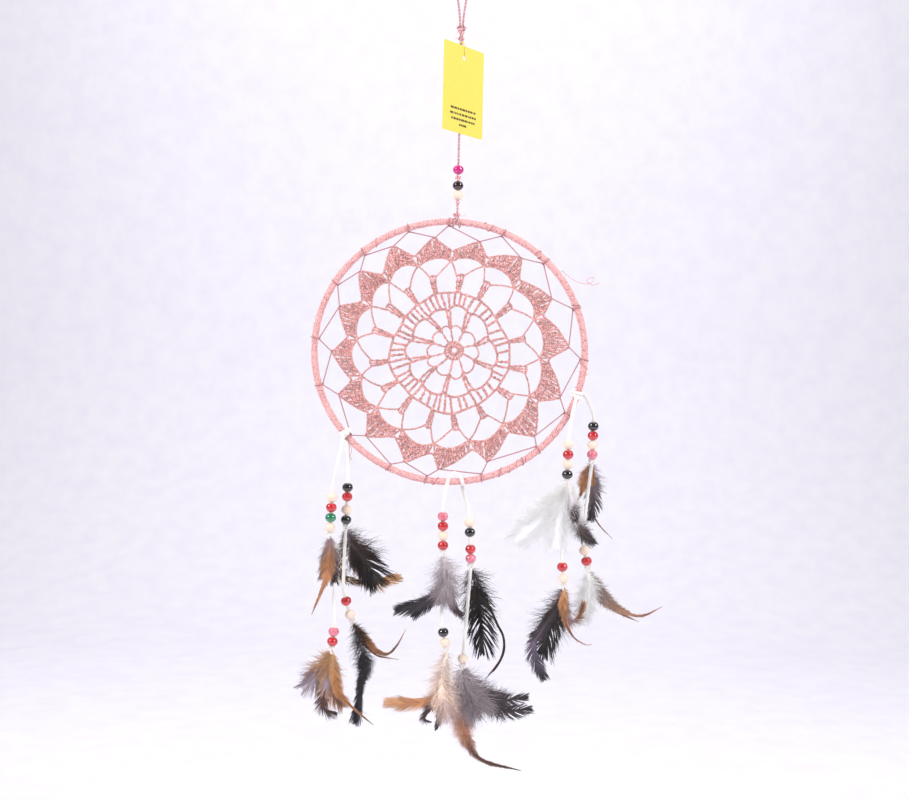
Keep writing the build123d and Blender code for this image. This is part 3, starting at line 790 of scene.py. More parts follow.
# ---------------------------------------------------------------- crochet web
# The web's middle, its yarn's radius, and the radii of its rows from the eye outwards.
WEB_X, WEB_Z = -1.0, -283.0
YARN = 0.5
EYE, CENTRE, CHAIN = 2.2, 5.6, 15.6
BAND_INNER, BAND_OUTER = 29.8, 44.0
HEAD, APEX, VALLEY = 57.0, 68.0, 75.5
POSTS_PER_GAP = 5

# Angles are in degrees clockwise from the web's top: the inner spokes, then each petal's post, and the tip of
# the fan that grows from it, with the tip's distance from the centre.
SPOKES = (-5.5, 27, 68, 109, 149, 186, 220, 254.5, 290, 324)
PETALS = (
    (-12.7, -7.9, 84.9), (6.7, 14.6, 84.5), (28.2, 36.8, 87.6), (51.5, 61.5, 85.9),
    (78.1, 86.5, 89.6), (102.7, 110.7, 89.0), (126.8, 132.6, 89.0), (150.1, 159.0, 86.1),
    (175.1, 183.0, 86.8), (195.9, 200.3, 86.7), (217.9, 223.1, 86.5), (239.1, 247.4, 86.6),
    (262.0, 268.6, 85.8), (285.0, 291.3, 86.4), (305.0, 311.4, 87.6), (325.0, 331.5, 87.4),
)
POST_ANGLES = [petal[0] for petal in PETALS]
# Degrees clockwise, of an apex from the middle between its posts and of a half hitch on the hoop from its
# fan's tip, and how far from the web's middle the lacing looks for the hoop.
APEX_LEAD = 3.4
HOOP_LEAD = 6.5
LACING_REACH = 96


def apex_angle(number):
    """Where the threads of two neighbouring petals meet, before the given petal."""
    before = POST_ANGLES[number - 1] - (360 if number % len(PETALS) == 0 else 0)
    return (before + POST_ANGLES[number % len(PETALS)]) / 2 + APEX_LEAD


def polar(radius, angle):
    """A place on the web, at an angle in degrees clockwise from its top."""
    return np.stack([radius * np.sin(np.radians(angle)), radius * np.cos(np.radians(angle))], axis=-1)


def hand_made(flat):
    """The uneven pull of hand crochet: the outer rows sit to the left, and rows wander a little."""
    u, v = flat[..., 0], flat[..., 1]
    reach = np.hypot(u, v)
    ease = np.clip(1 - (reach / 95) ** 4, 0, 1)
    shift_u = 1.3 * np.sin(0.085 * v + 0.045 * u + 1.1) + 0.7 * np.sin(0.21 * u - 0.12 * v)
    shift_v = 1.3 * np.sin(0.08 * u - 0.05 * v + 2.3) + 0.7 * np.sin(0.19 * v + 0.14 * u + 0.7)
    pull = -3.0 * reach / 70
    return flat + np.stack([shift_u * ease + pull, shift_v * ease], axis=-1)


def on_web(flat, depth):
    """Places on the web as points in space; depth is towards the front."""
    flat = hand_made(np.asarray(flat, float))
    return np.stack([WEB_X + flat[:, 0], -np.asarray(depth) + 0 * flat[:, 0], WEB_Z + flat[:, 1]], axis=1)


def chain(piece, flat, stitch=4.4, width=0.5, closed=False, radius=YARN * 0.92):
    """A row of chain stitches along places on the web: a plait of three runs of the yarn."""
    line = np.column_stack([flat[:, 0], 0 * flat[:, 0], flat[:, 1]])
    if closed:
        line = np.vstack([line, line[:1]])
    run = run_length(line)
    count = max(1, round(run[-1] / stitch))
    at = np.linspace(0, run[-1], ceil(run[-1] / 0.62) + 1)
    if closed:
        at = at[:-1]
    flat = np.stack([np.interp(at, run, line[:, 0]), np.interp(at, run, line[:, 2])], axis=1)
    ahead = np.roll(flat, -1, axis=0) - np.roll(flat, 1, axis=0) if closed else np.gradient(flat, axis=0)
    ahead = unit(ahead)
    beside = np.stack([-ahead[:, 1], ahead[:, 0]], axis=1)
    for strand in range(3):
        phase = 2 * pi * (count * at / run[-1] + strand / 3)
        weave = flat + beside * (width * np.sin(phase))[:, None]
        piece.yarn(on_web(weave, 0.42 * np.sin(2 * phase)), radius, closed=closed, sides=7)


def post(piece, base, top, wraps=1, turns=1.2, width=0.46, radius=YARN):
    """A tall stitch: two runs of yarn twisted together, with the yarn-overs slanting round them."""
    base, top = np.asarray(base, float), np.asarray(top, float)
    length = np.linalg.norm(top - base)
    share = np.linspace(0, 1, max(5, ceil(length / 0.9)))
    ahead = (top - base) / max(length, 1e-6)
    beside = np.array([-ahead[1], ahead[0]])
    middle = base + share[:, None] * (top - base)
    phase = piece.random.uniform(0, 2 * pi) + 2 * pi * turns * share
    for side in (0, pi):
        flat = middle + beside * (width * np.cos(phase + side))[:, None]
        piece.yarn(on_web(flat, width * np.sin(phase + side)), radius, sides=7)
    for wrap in range(wraps):
        place = (wrap + 1) / (wraps + 1) + piece.random.uniform(-0.05, 0.05)
        turn = np.linspace(-0.4, 2 * pi * 1.1, 11)
        along = place * length + np.linspace(-0.55, 0.75, 11)
        flat = base + along[:, None] * ahead + beside * (0.82 * np.cos(turn))[:, None]
        piece.yarn(on_web(flat, 0.82 * np.sin(turn)), radius * 0.85, sides=6)


def scallops(angles, low, high):
    """Places round the web that dip to the low radius at each angle and arch out to the high one between."""
    around = np.append(angles, angles[0] + 360)
    angle = np.linspace(around[0], around[-1], 240, endpoint=False)
    share = np.interp(angle, around, np.arange(len(around))) % 1
    return polar(low + (high - low) * np.sin(pi * share) ** 0.7, angle)


def curve_flat(places):
    """A smooth row of places through a few."""
    points = [(u, 0, v) for u, v in places]
    return curve_through(points, 0.6)[:, [0, 2]]


def make_web():
    piece = Piece("crochet_centre")
    every = np.arange(0, 360, 36)
    chain(piece, scallops(every, EYE, EYE), stitch=3.0, width=0.35, closed=True)
    chain(piece, scallops(every, CENTRE, CENTRE + 0.3), stitch=3.2, width=0.45, closed=True)
    for angle in np.arange(0, 360, 22.5):
        post(piece, polar(EYE, angle), polar(CENTRE, angle + 3), wraps=0, turns=0.5, width=0.4)
    for angle in SPOKES:
        foot, top = polar(CENTRE + 0.3, angle), polar(CHAIN, angle)
        post(piece, foot, top, wraps=1, turns=1.0, width=0.42, radius=0.4)
    chain(piece, scallops(SPOKES, CHAIN, CHAIN + 3.6), stitch=4.0, width=0.42, closed=True, radius=0.38)
    for angle in SPOKES:
        for lean in (-1, 1):
            top = polar(BAND_INNER + 0.8, angle + 3.0 * lean)
            post(piece, polar(CHAIN + 0.2, angle + 1.8 * lean), top, wraps=2, turns=1.5, width=0.5)
    chain(piece, scallops(SPOKES, BAND_INNER, BAND_INNER + 3.4), stitch=4.0, width=0.55, closed=True)
    piece.make("hoop", "pink_crochet", replaces=["crochet_web"])

    piece = Piece("crochet_band")
    around = np.append(SPOKES, SPOKES[0] + 360)
    for number in range(len(SPOKES) * POSTS_PER_GAP):
        share = (number + 0.5) / POSTS_PER_GAP
        angle = np.interp(share, np.arange(len(around)), around) + piece.random.uniform(-1.1, 1.1)
        low = BAND_INNER + 3.4 * sin(pi * (share % 1)) ** 0.7
        slant = piece.random.uniform(-1.2, 1.2)
        post(piece, polar(low, angle), polar(BAND_OUTER, angle + slant), wraps=2, turns=1.3, width=0.56)
    rim = scallops(POST_ANGLES, BAND_OUTER + 0.4, BAND_OUTER - 0.5)
    chain(piece, rim, stitch=4.2, width=0.6, closed=True)
    piece.make("hoop", "pink_crochet")

    piece = Piece("crochet_petals")
    for number, head in enumerate(POST_ANGLES):
        reach = HEAD + piece.random.uniform(-1.0, 1.0)
        for lean in (-1, 0, 1):
            top = polar(reach, head + 2.1 * lean)
            post(piece, polar(BAND_OUTER, head + 1.2 * lean), top, wraps=2, turns=1.4, width=0.34)
        cap = curve_flat([polar(reach, head - 3.1), polar(reach + 0.9, head), polar(reach, head + 3.1)])
        chain(piece, cap, width=0.5)
        for side, apex in ((-1, apex_angle(number)), (1, apex_angle(number + 1))):
            apex += 360 * round((head - apex) / 360)
            start, end = polar(reach, head + side * 2.6), polar(APEX - 0.3, apex)
            arm = curve_flat([start, (start + end) / 2 * 1.012, end])
            chain(piece, arm, stitch=3.8, width=0.38, radius=0.37)
    piece.make("hoop", "pink_crochet")

    halves = [Piece("crochet_fans_1"), Piece("crochet_fans_2")]
    edge, base = [], []
    for number in range(len(PETALS)):
        fan(halves[2 * number // len(PETALS)], number, edge, base)
    for piece in halves:
        piece.make("hoop", "pink_crochet")
    piece = Piece("crochet_edge")
    for row, width in ((edge, 0.52), (base, 0.48)):
        points = [(u, 0, v) for u, v in row]
        chain(piece, curve_through(points, 0.6, closed=True)[:, [0, 2]], width=width, closed=True)
    piece.make("hoop", "pink_crochet")


def fan(piece, number, edge, base):
    """A dense shell of tall stitches between two apexes. Its tip leans clockwise, so one edge is steep."""
    _, tip, reach = PETALS[number]
    before, after = apex_angle(number), apex_angle(number + 1)
    after += 360 * round((before + 22.5 - after) / 360)
    middle = (before + after) / 2
    outline = ((before + 1.4, VALLEY + 0.4), (tip - 1.8, reach - 1.2), (tip, reach),
               (after - 1.2, VALLEY + 0.2))
    edge += [polar(VALLEY - 0.3, before), polar(VALLEY + 0.9, before + 2.2)]
    edge += [polar((VALLEY + reach) / 2 + 0.3, (before + 1.4 + tip) / 2), polar(reach - 0.9, tip - 1.6)]
    edge += [polar(reach, tip)]
    edge += [polar(reach - 3.2, tip + 1.5), polar(VALLEY + 1.4, after - 2.0)]
    base += [polar(APEX, before), polar(APEX + 2.4, (before + middle) / 2), polar(APEX + 3.2, middle),
             polar(APEX + 2.4, (middle + after) / 2)]
    count = 15
    for stitch in range(count):
        share = (stitch + 0.5) / count * 2 - 1
        foot_angle = middle + share * (after - before) * 0.40 + piece.random.uniform(-0.25, 0.25)
        foot = APEX + 3.1 - 1.9 * share**2
        top_angle = middle + share * (after - before) * 0.455 + 0.3 * (tip - middle) * (1 - share**2)
        top = np.interp(top_angle, *zip(*outline)) - 0.9
        tilt = piece.random.uniform(-0.5, 0.5)
        wraps = 1 if top - foot < 7 else 2
        post(piece, polar(foot, foot_angle), polar(top, top_angle + tilt), wraps=wraps, width=0.56)
    for side in (-1, 1):
        foot, top = polar(APEX + 0.5, before + 0.5 * side), polar(VALLEY - 0.3, before + 1.7 * side)
        post(piece, foot, top, wraps=0, width=0.4)


def straight_spans(points, close=0.04, least=6.0):
    """The points with two more near the ends of every long span, so that a curve stays straight there."""
    result = []
    for start, end in zip(points, points[1:] + points[:1]):
        result.append(start)
        if np.linalg.norm(end - start) > least:
            result += [start + close * (end - start), end - close * (end - start)]
    return result


# A half hitch's points: how far along the hoop, how many half turns round it, and the height above its wrap.
HALF_HITCH = (
    (-0.9, 1, 0.4), (-0.5, 1.35, 0.4), (0.0, 1.7, 0.4), (0.3, 2.1, 0.4),
    (0.3, 2.5, 0.4), (0.0, 2.85, 0.4), (-0.9, 3.05, 0.8), (0.9, 3.0, 1.0),
)


def make_lacing():
    """The thread that ties each fan's tip to the hoop, with a half hitch round the hoop each time."""
    piece = Piece("lacing_zigzag")
    points = []
    for _, tip, reach in PETALS:
        points.append(on_web(polar(reach + 0.3, tip)[None], 0.5)[0])
        place = np.radians(tip + HOOP_LEAD + piece.random.uniform(-1.5, 1.5))
        share = nearest_share(WEB_X + LACING_REACH * np.sin(place), WEB_Z + LACING_REACH * np.cos(place))
        for slide, turns, extra in HALF_HITCH:
            points.append(around_hoop(share + slide / RING_LENGTH, turns * pi, WRAP_RADIUS + extra))
    line = curve_through(straight_spans(points), 0.6, closed=True)
    normals = np.tile([0.0, -1.0, 0.05], (len(line), 1))
    piece.yarn(line, 0.48, ply=1.5, closed=True, sides=6, normals=normals)
    piece.make("hoop", "pink_lacing", replaces=["lacing_thread"])


# ---------------------------------------------------------------- strands
# A lace's section, how far under the last bead its knot is, and how far it runs straight above the first one;
# the beads; and how far in front of the hoop's middle or behind it each strand hangs.
LACE_WIDTH, LACE_THICKNESS = 2.6, 0.9
LACE_KNOT, LACE_LEAD = 1.7, 6.0
BEAD_HEIGHT, BEAD_BORE, CORD_BEAD_BORE = 6.8, 1.3, 1.03
LAYER = 4.4
# Each tie's strands, and how far its lace spreads along the hoop to each side
TIES = {
    "left_tie": (("left_outer", "left_inner"), 1.4),
    "bottom_tie": (("bottom_left", "bottom_right"), 5.4),
    "right_tie": (("right_inner", "right_outer"), 1.5),
}
N, R, K, P, G = "natural_wood", "red_paint", "black_paint", "pink_paint", "green_paint"

# Each strand: its side of the hoop, its pivot, and two clusters as (first bead, last bead, the beads' shares
# of the way between, their paint) with their feathers: (kind, width, places (x, z) the quill passes).
STRANDS = {
    "left_outer": {
        "side": FRONT, "pivot": (-80.5, -348.0),
        "upper": ((-87.6, -392.2), (-88.5, -414.3), (0, 0.333, 0.667, 1), (N, R, G, N)),
        "lower": ((-84.0, -490.9), (-84.8, -498.1), (0, 1), (P, R)),
        "upper_feathers": (
            ("grey", 12, ((-90, -435), (-93, -451))),
            ("grey_dark", 12, ((-86, -435), (-84, -453))),
            ("brown_tail", 13, ((-88, -435), (-90, -451), (-93, -460), (-100, -478)))),
        "lower_feathers": (
            ("tan_grey", 18, ((-92, -516), (-98, -526), (-104, -532))),
            ("brown_hook", 15, ((-87, -521), (-90, -535), (-91, -547), (-82, -552))),
            ("tan", 20, ((-87, -519), (-85, -532), (-77, -545))),
            ("brown", 11, ((-83, -519), (-79, -535), (-69, -546), (-53, -559)))),
    },
    "left_inner": {
        "side": BACK, "pivot": (-77.5, -349.5),
        "upper": ((-77.0, -385.2), (-77.6, -409.3), (0, 0.29, 0.69, 1), (K, R, N, K)),
        "lower": ((-76.2, -469.7), (-73.0, -479.6), (0, 1), (R, N)),
        "upper_feathers": (
            ("dark", 27, ((-70, -430), (-62, -442), (-56, -454))),
            ("tan_tip", 15, ((-71, -430), (-65, -446), (-55, -455), (-37, -452))),
            ("striped", 9, ((-80, -432), (-81, -447), (-77, -453), (-66, -457))),
            ("pale_striped", 9, ((-81, -432), (-82, -447), (-82, -452), (-78, -455)))),
        "lower_feathers": (
            ("black_paddle", 15,
             ((-67, -492), (-64, -505), (-61, -519), (-64, -532), (-65, -544), (-67, -557))),
            ("brown_curl", 8, ((-62, -496), (-54, -505), (-45, -508), (-38, -502), (-31, -489))),
            ("brown_curl", 7, ((-61, -500), (-53, -509), (-45, -511), (-36, -512)))),
    },
    "bottom_left": {
        "side": FRONT, "pivot": (-4.0, -384.0),
        "upper": ((-5.6, -404.3), (-5.1, -425.6), (0, 0.333, 0.667, 1), (P, R, N, R)),
        "lower": ((-3.4, -489.5), (-2.0, -497.2), (0, 1), (K, N)),
        "upper_feathers": (
            ("dark_leaf", 8, ((-2, -449), (1, -462), (4, -470), (10, -476))),
            ("grey_blade", 12, ((-4, -445), (-6, -458), (-13, -466), (-25, -477))),
            ("grey_blade", 13, ((-4, -445), (-7, -458), (-19, -467), (-37, -473))),
            ("grey_down", 22, ((-3, -443), (-2, -455), (-4, -464)))),
        "lower_feathers": (
            ("orange_tip", 13, ((-3, -517), (-5, -532), (-18, -541), (-44, -542))),
            ("brown_hook", 9, ((-3, -519), (-5, -539), (-13, -546), (-16, -552), (-11, -555))),
            ("grey_dark", 9, ((-2, -519), (-3, -539), (-5, -551), (-7, -560))),
            ("peach_down", 20, ((-3, -515), (-4, -528), (-1, -541), (2, -549)))),
    },
    "bottom_right": {
        "side": BACK, "pivot": (8.2, -382.5),
        "upper": ((14.3, -409.4), (15.7, -436.0), (0, 0.267, 0.737, 1), (N, K, R, P)),
        "lower": ((11.9, -505.5), (11.5, -510.6), (1,), (N,)),
        "upper_feathers": (
            ("big_black", 27, ((19, -455), (22, -472), (25, -489), (26, -505))),
            ("black_tail", 3, ((27, -465), (36, -484), (42, -497), (40, -512), (28, -528)))),
        "lower_feathers": (
            ("grey_down", 30, ((11, -523), (14, -534), (24, -547))),
            ("dark_sweep", 15, ((17, -526), (29, -536), (44, -540), (59, -538))),
            ("dark_sweep", 16, ((16, -529), (27, -540), (42, -548), (62, -547))),
            ("peach_tail", 19, ((11, -534), (11, -551), (16, -572), (28, -586), (57, -593)))),
    },
    "right_inner": {
        "side": FRONT, "pivot": (88.0, -326.0),
        "upper": ((85.6, -349.4), (85.2, -371.3), (0, 0.333, 0.667, 1), (N, R, N, K)),
        "lower": ((83.1, -439.4), (83.9, -448.0), (0, 1), (R, N)),
        "upper_feathers": (
            ("white_down", 24, ((79, -388), (67, -403), (50, -419))),
            ("white_down", 22, ((83, -390), (79, -407), (78, -422))),
            ("white_dark", 12, ((87, -385), (90, -400), (97, -413), (104, -420))),
            ("white_dark", 8, ((87, -383), (90, -394), (91, -404)))),
        "lower_feathers": (
            ("dark", 25, ((79, -475), (74, -488), (70, -501))),
            ("black_tip", 13, ((79, -473), (68, -488), (63, -501), (71, -522))),
            ("tan", 9, ((85, -468), (90, -479), (96, -476), (100, -465))),
            ("brown_curl", 7, ((85, -475), (92, -490), (101, -496), (106, -496))),
            ("brown", 9, ((84, -468), (85, -482)))),
    },
    "right_outer": {
        "side": BACK, "pivot": (100.5, -317.0),
        "upper": ((104.6, -335.6), (104.3, -356.7), (0, 0.333, 0.667, 1), (K, R, N, P)),
        "lower": ((100.1, -428.1), (101.8, -436.0), (0, 1), (N, R)),
        "upper_feathers": (
            ("brown", 13, ((101, -373), (98, -384), (93, -395))),
            ("grey_dark", 15, ((106, -375), (107, -391), (105, -405))),
            ("brown_curl", 6, ((106, -382), (107, -400), (112, -410), (122, -420)))),
        "lower_feathers": (
            ("white_down", 16, ((104, -453), (102, -466), (100, -479))),
            ("grey_brown_tail", 12, ((109, -453), (119, -466), (134, -474), (145, -475), (159, -468))),
            ("grey_brown_tail", 11, ((110, -455), (121, -470), (134, -477), (142, -480)))),
    },
}

# A feather's outline: how wide each side is, as a share of its half width, at shares of its length.
OUTLINES = {
    "leaf": ((0, 0.3), (0.15, 0.8), (0.4, 1.0), (0.7, 0.85), (0.9, 0.5), (1, 0.1)),
    "fan": ((0, 0.3), (0.2, 0.8), (0.5, 1.0), (0.75, 0.95), (0.92, 0.65), (1, 0.3)),
    "broad": ((0, 0.4), (0.12, 0.9), (0.35, 1.0), (0.65, 0.92), (0.85, 0.6), (1, 0.2)),
    "tail": ((0, 0.3), (0.12, 0.85), (0.3, 1.0), (0.48, 0.6), (0.62, 0.26), (0.8, 0.17), (1, 0.05)),
    "blade": ((0, 0.35), (0.25, 0.65), (0.5, 0.8), (0.72, 1.0), (0.88, 0.75), (1, 0.2)),
    "waist": ((0, 0.4), (0.15, 0.9), (0.35, 1.0), (0.58, 0.5), (0.7, 0.42), (0.88, 0.78), (0.96, 0.6),
              (1, 0.2)),
    "wisp": ((0, 0.5), (0.5, 0.7), (0.85, 0.8), (1, 0.1)),
}

# A kind of feather: its outline, how much of it from the root is down, how far its barbs stray, how much its
# vane parts into locks, its tones from root to tip, the tone of its barbs' ends, and its cross bars.
KINDS = {
    "grey": ("leaf", 0.45, 0.5, 0.3,
             ((0, "cbbdcb"), (0.35, "93828f"), (0.65, "6e5146"), (1, "33282b")), "cbb9c6", 0),
    "grey_dark": ("leaf", 0.4, 0.6, 0.4,
                  ((0, "beb0bd"), (0.35, "8c7b85"), (0.7, "463a40"), (1, "231c20")), None, 0),
    "brown_tail": ("tail", 0.3, 0.4, 0.3,
                   ((0, "96848d"), (0.25, "a8714c"), (0.5, "bd8058"), (0.8, "ab7558"), (1, "7a4d40")),
                   "d9a682", 0),
    "brown": ("tail", 0.15, 0.4, 0.2,
              ((0, "dcae83"), (0.3, "ab7344"), (0.75, "8d5b39"), (1, "352726")), "dba57c", 0),
    "tan_grey": ("fan", 0.7, 0.8, 0.3,
                 ((0, "e0ac76"), (0.4, "cb9670"), (0.65, "94848f"), (1, "bba8b6")), None, 0),
    "brown_hook": ("leaf", 0.35, 0.5, 0.4,
                   ((0, "cf9a62"), (0.35, "95674a"), (0.65, "5e3d33"), (1, "221a1e")), None, 0),
    "tan": ("leaf", 0.3, 0.6, 0.35,
            ((0, "c3915f"), (0.35, "a97e60"), (0.5, "a596a3"), (0.7, "865a42"), (1, "5b3b2d")), "dcb498", 0),
    "dark": ("fan", 0.5, 0.8, 0.5, ((0, "a4969c"), (0.2, "52413c"), (0.6, "241b1b"), (1, "120e0f")), None, 0),
    "tan_tip": ("leaf", 0.35, 0.4, 0.2,
                ((0, "8f7c78"), (0.45, "3f302b"), (0.65, "b27845"), (1, "e6ae78")), "e2a679", 0),
    "striped": ("blade", 0.6, 0.3, 0.1, ((0, "efe6e0"), (0.6, "e9dac6"), (1, "b08a63")), None, 9),
    "pale_striped": ("blade", 0.7, 0.5, 0.1, ((0, "efe6e6"), (0.6, "f1e9e4"), (1, "b39a6e")), None, 11),
    "black_paddle": ("waist", 0.6, 0.6, 0.2,
                     ((0, "32231f"), (0.4, "20171a"), (0.75, "2b2630"), (1, "0d0b10")), None, 0),
    "brown_curl": ("tail", 0.15, 0.4, 0.2,
                   ((0, "c79a74"), (0.35, "ad7448"), (0.7, "5b3c34"), (1, "cf9c8c")), "d9a78c", 0),
    "dark_leaf": ("blade", 0.5, 0.3, 0.1,
                  ((0, "dccfd6"), (0.45, "bba9b0"), (0.65, "6e5254"), (1, "2a2226")), "2a2226", 0),
    "grey_blade": ("blade", 0.5, 0.5, 0.15,
                   ((0, "d3c6d0"), (0.35, "a3949f"), (0.6, "3a343b"), (1, "17141a")), None, 0),
    "grey_down": ("fan", 0.95, 1.0, 0.0, ((0, "ddd3d7"), (0.5, "bbaeb3"), (1, "94878c")), None, 0),
    "peach_down": ("fan", 0.95, 0.7, 0.0, ((0, "fbebe2"), (0.6, "f5d8c6"), (1, "bca3a2")), None, 0),
    "orange_tip": ("blade", 0.45, 0.3, 0.1,
                   ((0, "f8e3d6"), (0.45, "c48a68"), (0.75, "cf8f62"), (1, "e7b082")), "e6b78f", 0),
    "big_black": ("broad", 0.45, 0.5, 1.0,
                  ((0, "75676c"), (0.2, "2b211e"), (0.6, "1d181a"), (1, "1d191d")), None, 0),
    "black_tail": ("wisp", 0.0, 0.1, 0.0, ((0, "33292b"), (0.5, "291d20"), (1, "53302c")), None, 0),
    "dark_sweep": ("leaf", 0.6, 0.9, 1.0,
                   ((0, "a3969b"), (0.3, "82757a"), (0.6, "564a4f"), (1, "231e21")), None, 0),
    "peach_tail": ("tail", 0.55, 0.8, 0.3,
                   ((0, "cfbcc2"), (0.2, "f3cdb8"), (0.45, "e29b78"), (0.6, "683c30"), (1, "2c201f")),
                   "f6dccb", 0),
    "white_down": ("fan", 1.35, 0.9, 0.0, ((0, "fffdfb"), (0.6, "ffffff"), (1, "fffdff")), None, 0),
    "white_dark": ("fan", 0.9, 0.9, 0.3,
                   ((0, "fcf8f5"), (0.5, "f3edf0"), (0.68, "5d4d4c"), (1, "241d20")), None, 0),
    "black_tip": ("blade", 0.45, 0.5, 0.5,
                  ((0, "6d5f60"), (0.35, "3b3031"), (0.65, "64586a"), (1, "0d0a0f")), None, 0),
    "grey_brown_tail": ("tail", 0.4, 0.5, 0.3,
                        ((0, "a3939b"), (0.3, "95827c"), (0.6, "b78368"), (0.85, "9a6453"), (1, "c28f7c")),
                        "d9b7a4", 0),
}
for kind_name, (_, _, _, _, tones, tip_tone, bar_count) in KINDS.items():
    even = (0.95, 1.1) if kind_name.startswith("white") else (0.6, 1.35)
    MATERIALS[kind_name] = feather_material(kind_name, tones, tip_tone, bar_count, even)


QUILL_RADIUS = 0.34
BARB_SPACING, BARB_WIDTH = 0.34, 0.46


def grow_barbs(start, ahead, beside, out, lengths, angles, bends, lifts, curl, steps):
    """The lines of a row of barbs, (barbs, points, 3). Each bends from its angle towards the tip."""
    share = np.linspace(0, 1, steps)[None]
    angle = angles[:, None] - bends[:, None] * share + curl[:, None] * np.sin(share * 9 + curl[:, None] * 20)
    rise = lifts[:, None] * share
    step = lengths[:, None] / (steps - 1)
    flat = np.cos(angle)[..., None] * ahead[:, None] + np.sin(angle)[..., None] * beside[:, None]
    way = flat + rise[..., None] * out
    moves = unit(way) * step[..., None]
    first = np.zeros_like(moves[:, :1])
    return start[:, None] + np.concatenate([first, np.cumsum(moves[:, :-1], axis=1)], axis=1)


def add_barbs(piece, lines, widths, slot, along, out, shade=None):
    """Thin three-sided barbs along many lines at once, closed and pointed at their ends."""
    count, steps = lines.shape[:2]
    ahead = unit(np.gradient(lines, axis=1))
    up = unit(out - (ahead * out).sum(-1, keepdims=True) * ahead)
    beside = np.cross(ahead, up)
    share = np.linspace(0, 1, steps)
    taper = (1 - 0.85 * share**2.6)[None, :, None]
    half = widths[:, None, None] * taper / 2
    points = np.stack([lines + up * half * 0.55, lines + beside * half, lines - beside * half], axis=2)
    first = np.arange(count)[:, None] * steps * 3
    ring = first[..., None] + np.arange(steps - 1)[None, :, None] * 3
    side = np.arange(3)[None, None]
    a, b = ring + side, ring + (side + 1) % 3
    quads = np.stack([a, b, b + 3, a + 3], axis=-1).reshape(-1, 4)
    caps = np.concatenate([first + np.array([[2, 1, 0]]), first + (steps - 1) * 3 + np.array([[0, 1, 2]])])
    piece.add(points, [quads, caps], slot, along=np.repeat(along, steps * 3),
              across=np.tile(np.repeat(share, 3), count),
              shade=np.repeat(piece.random.uniform(0, 1, count) if shade is None else shade, steps * 3))


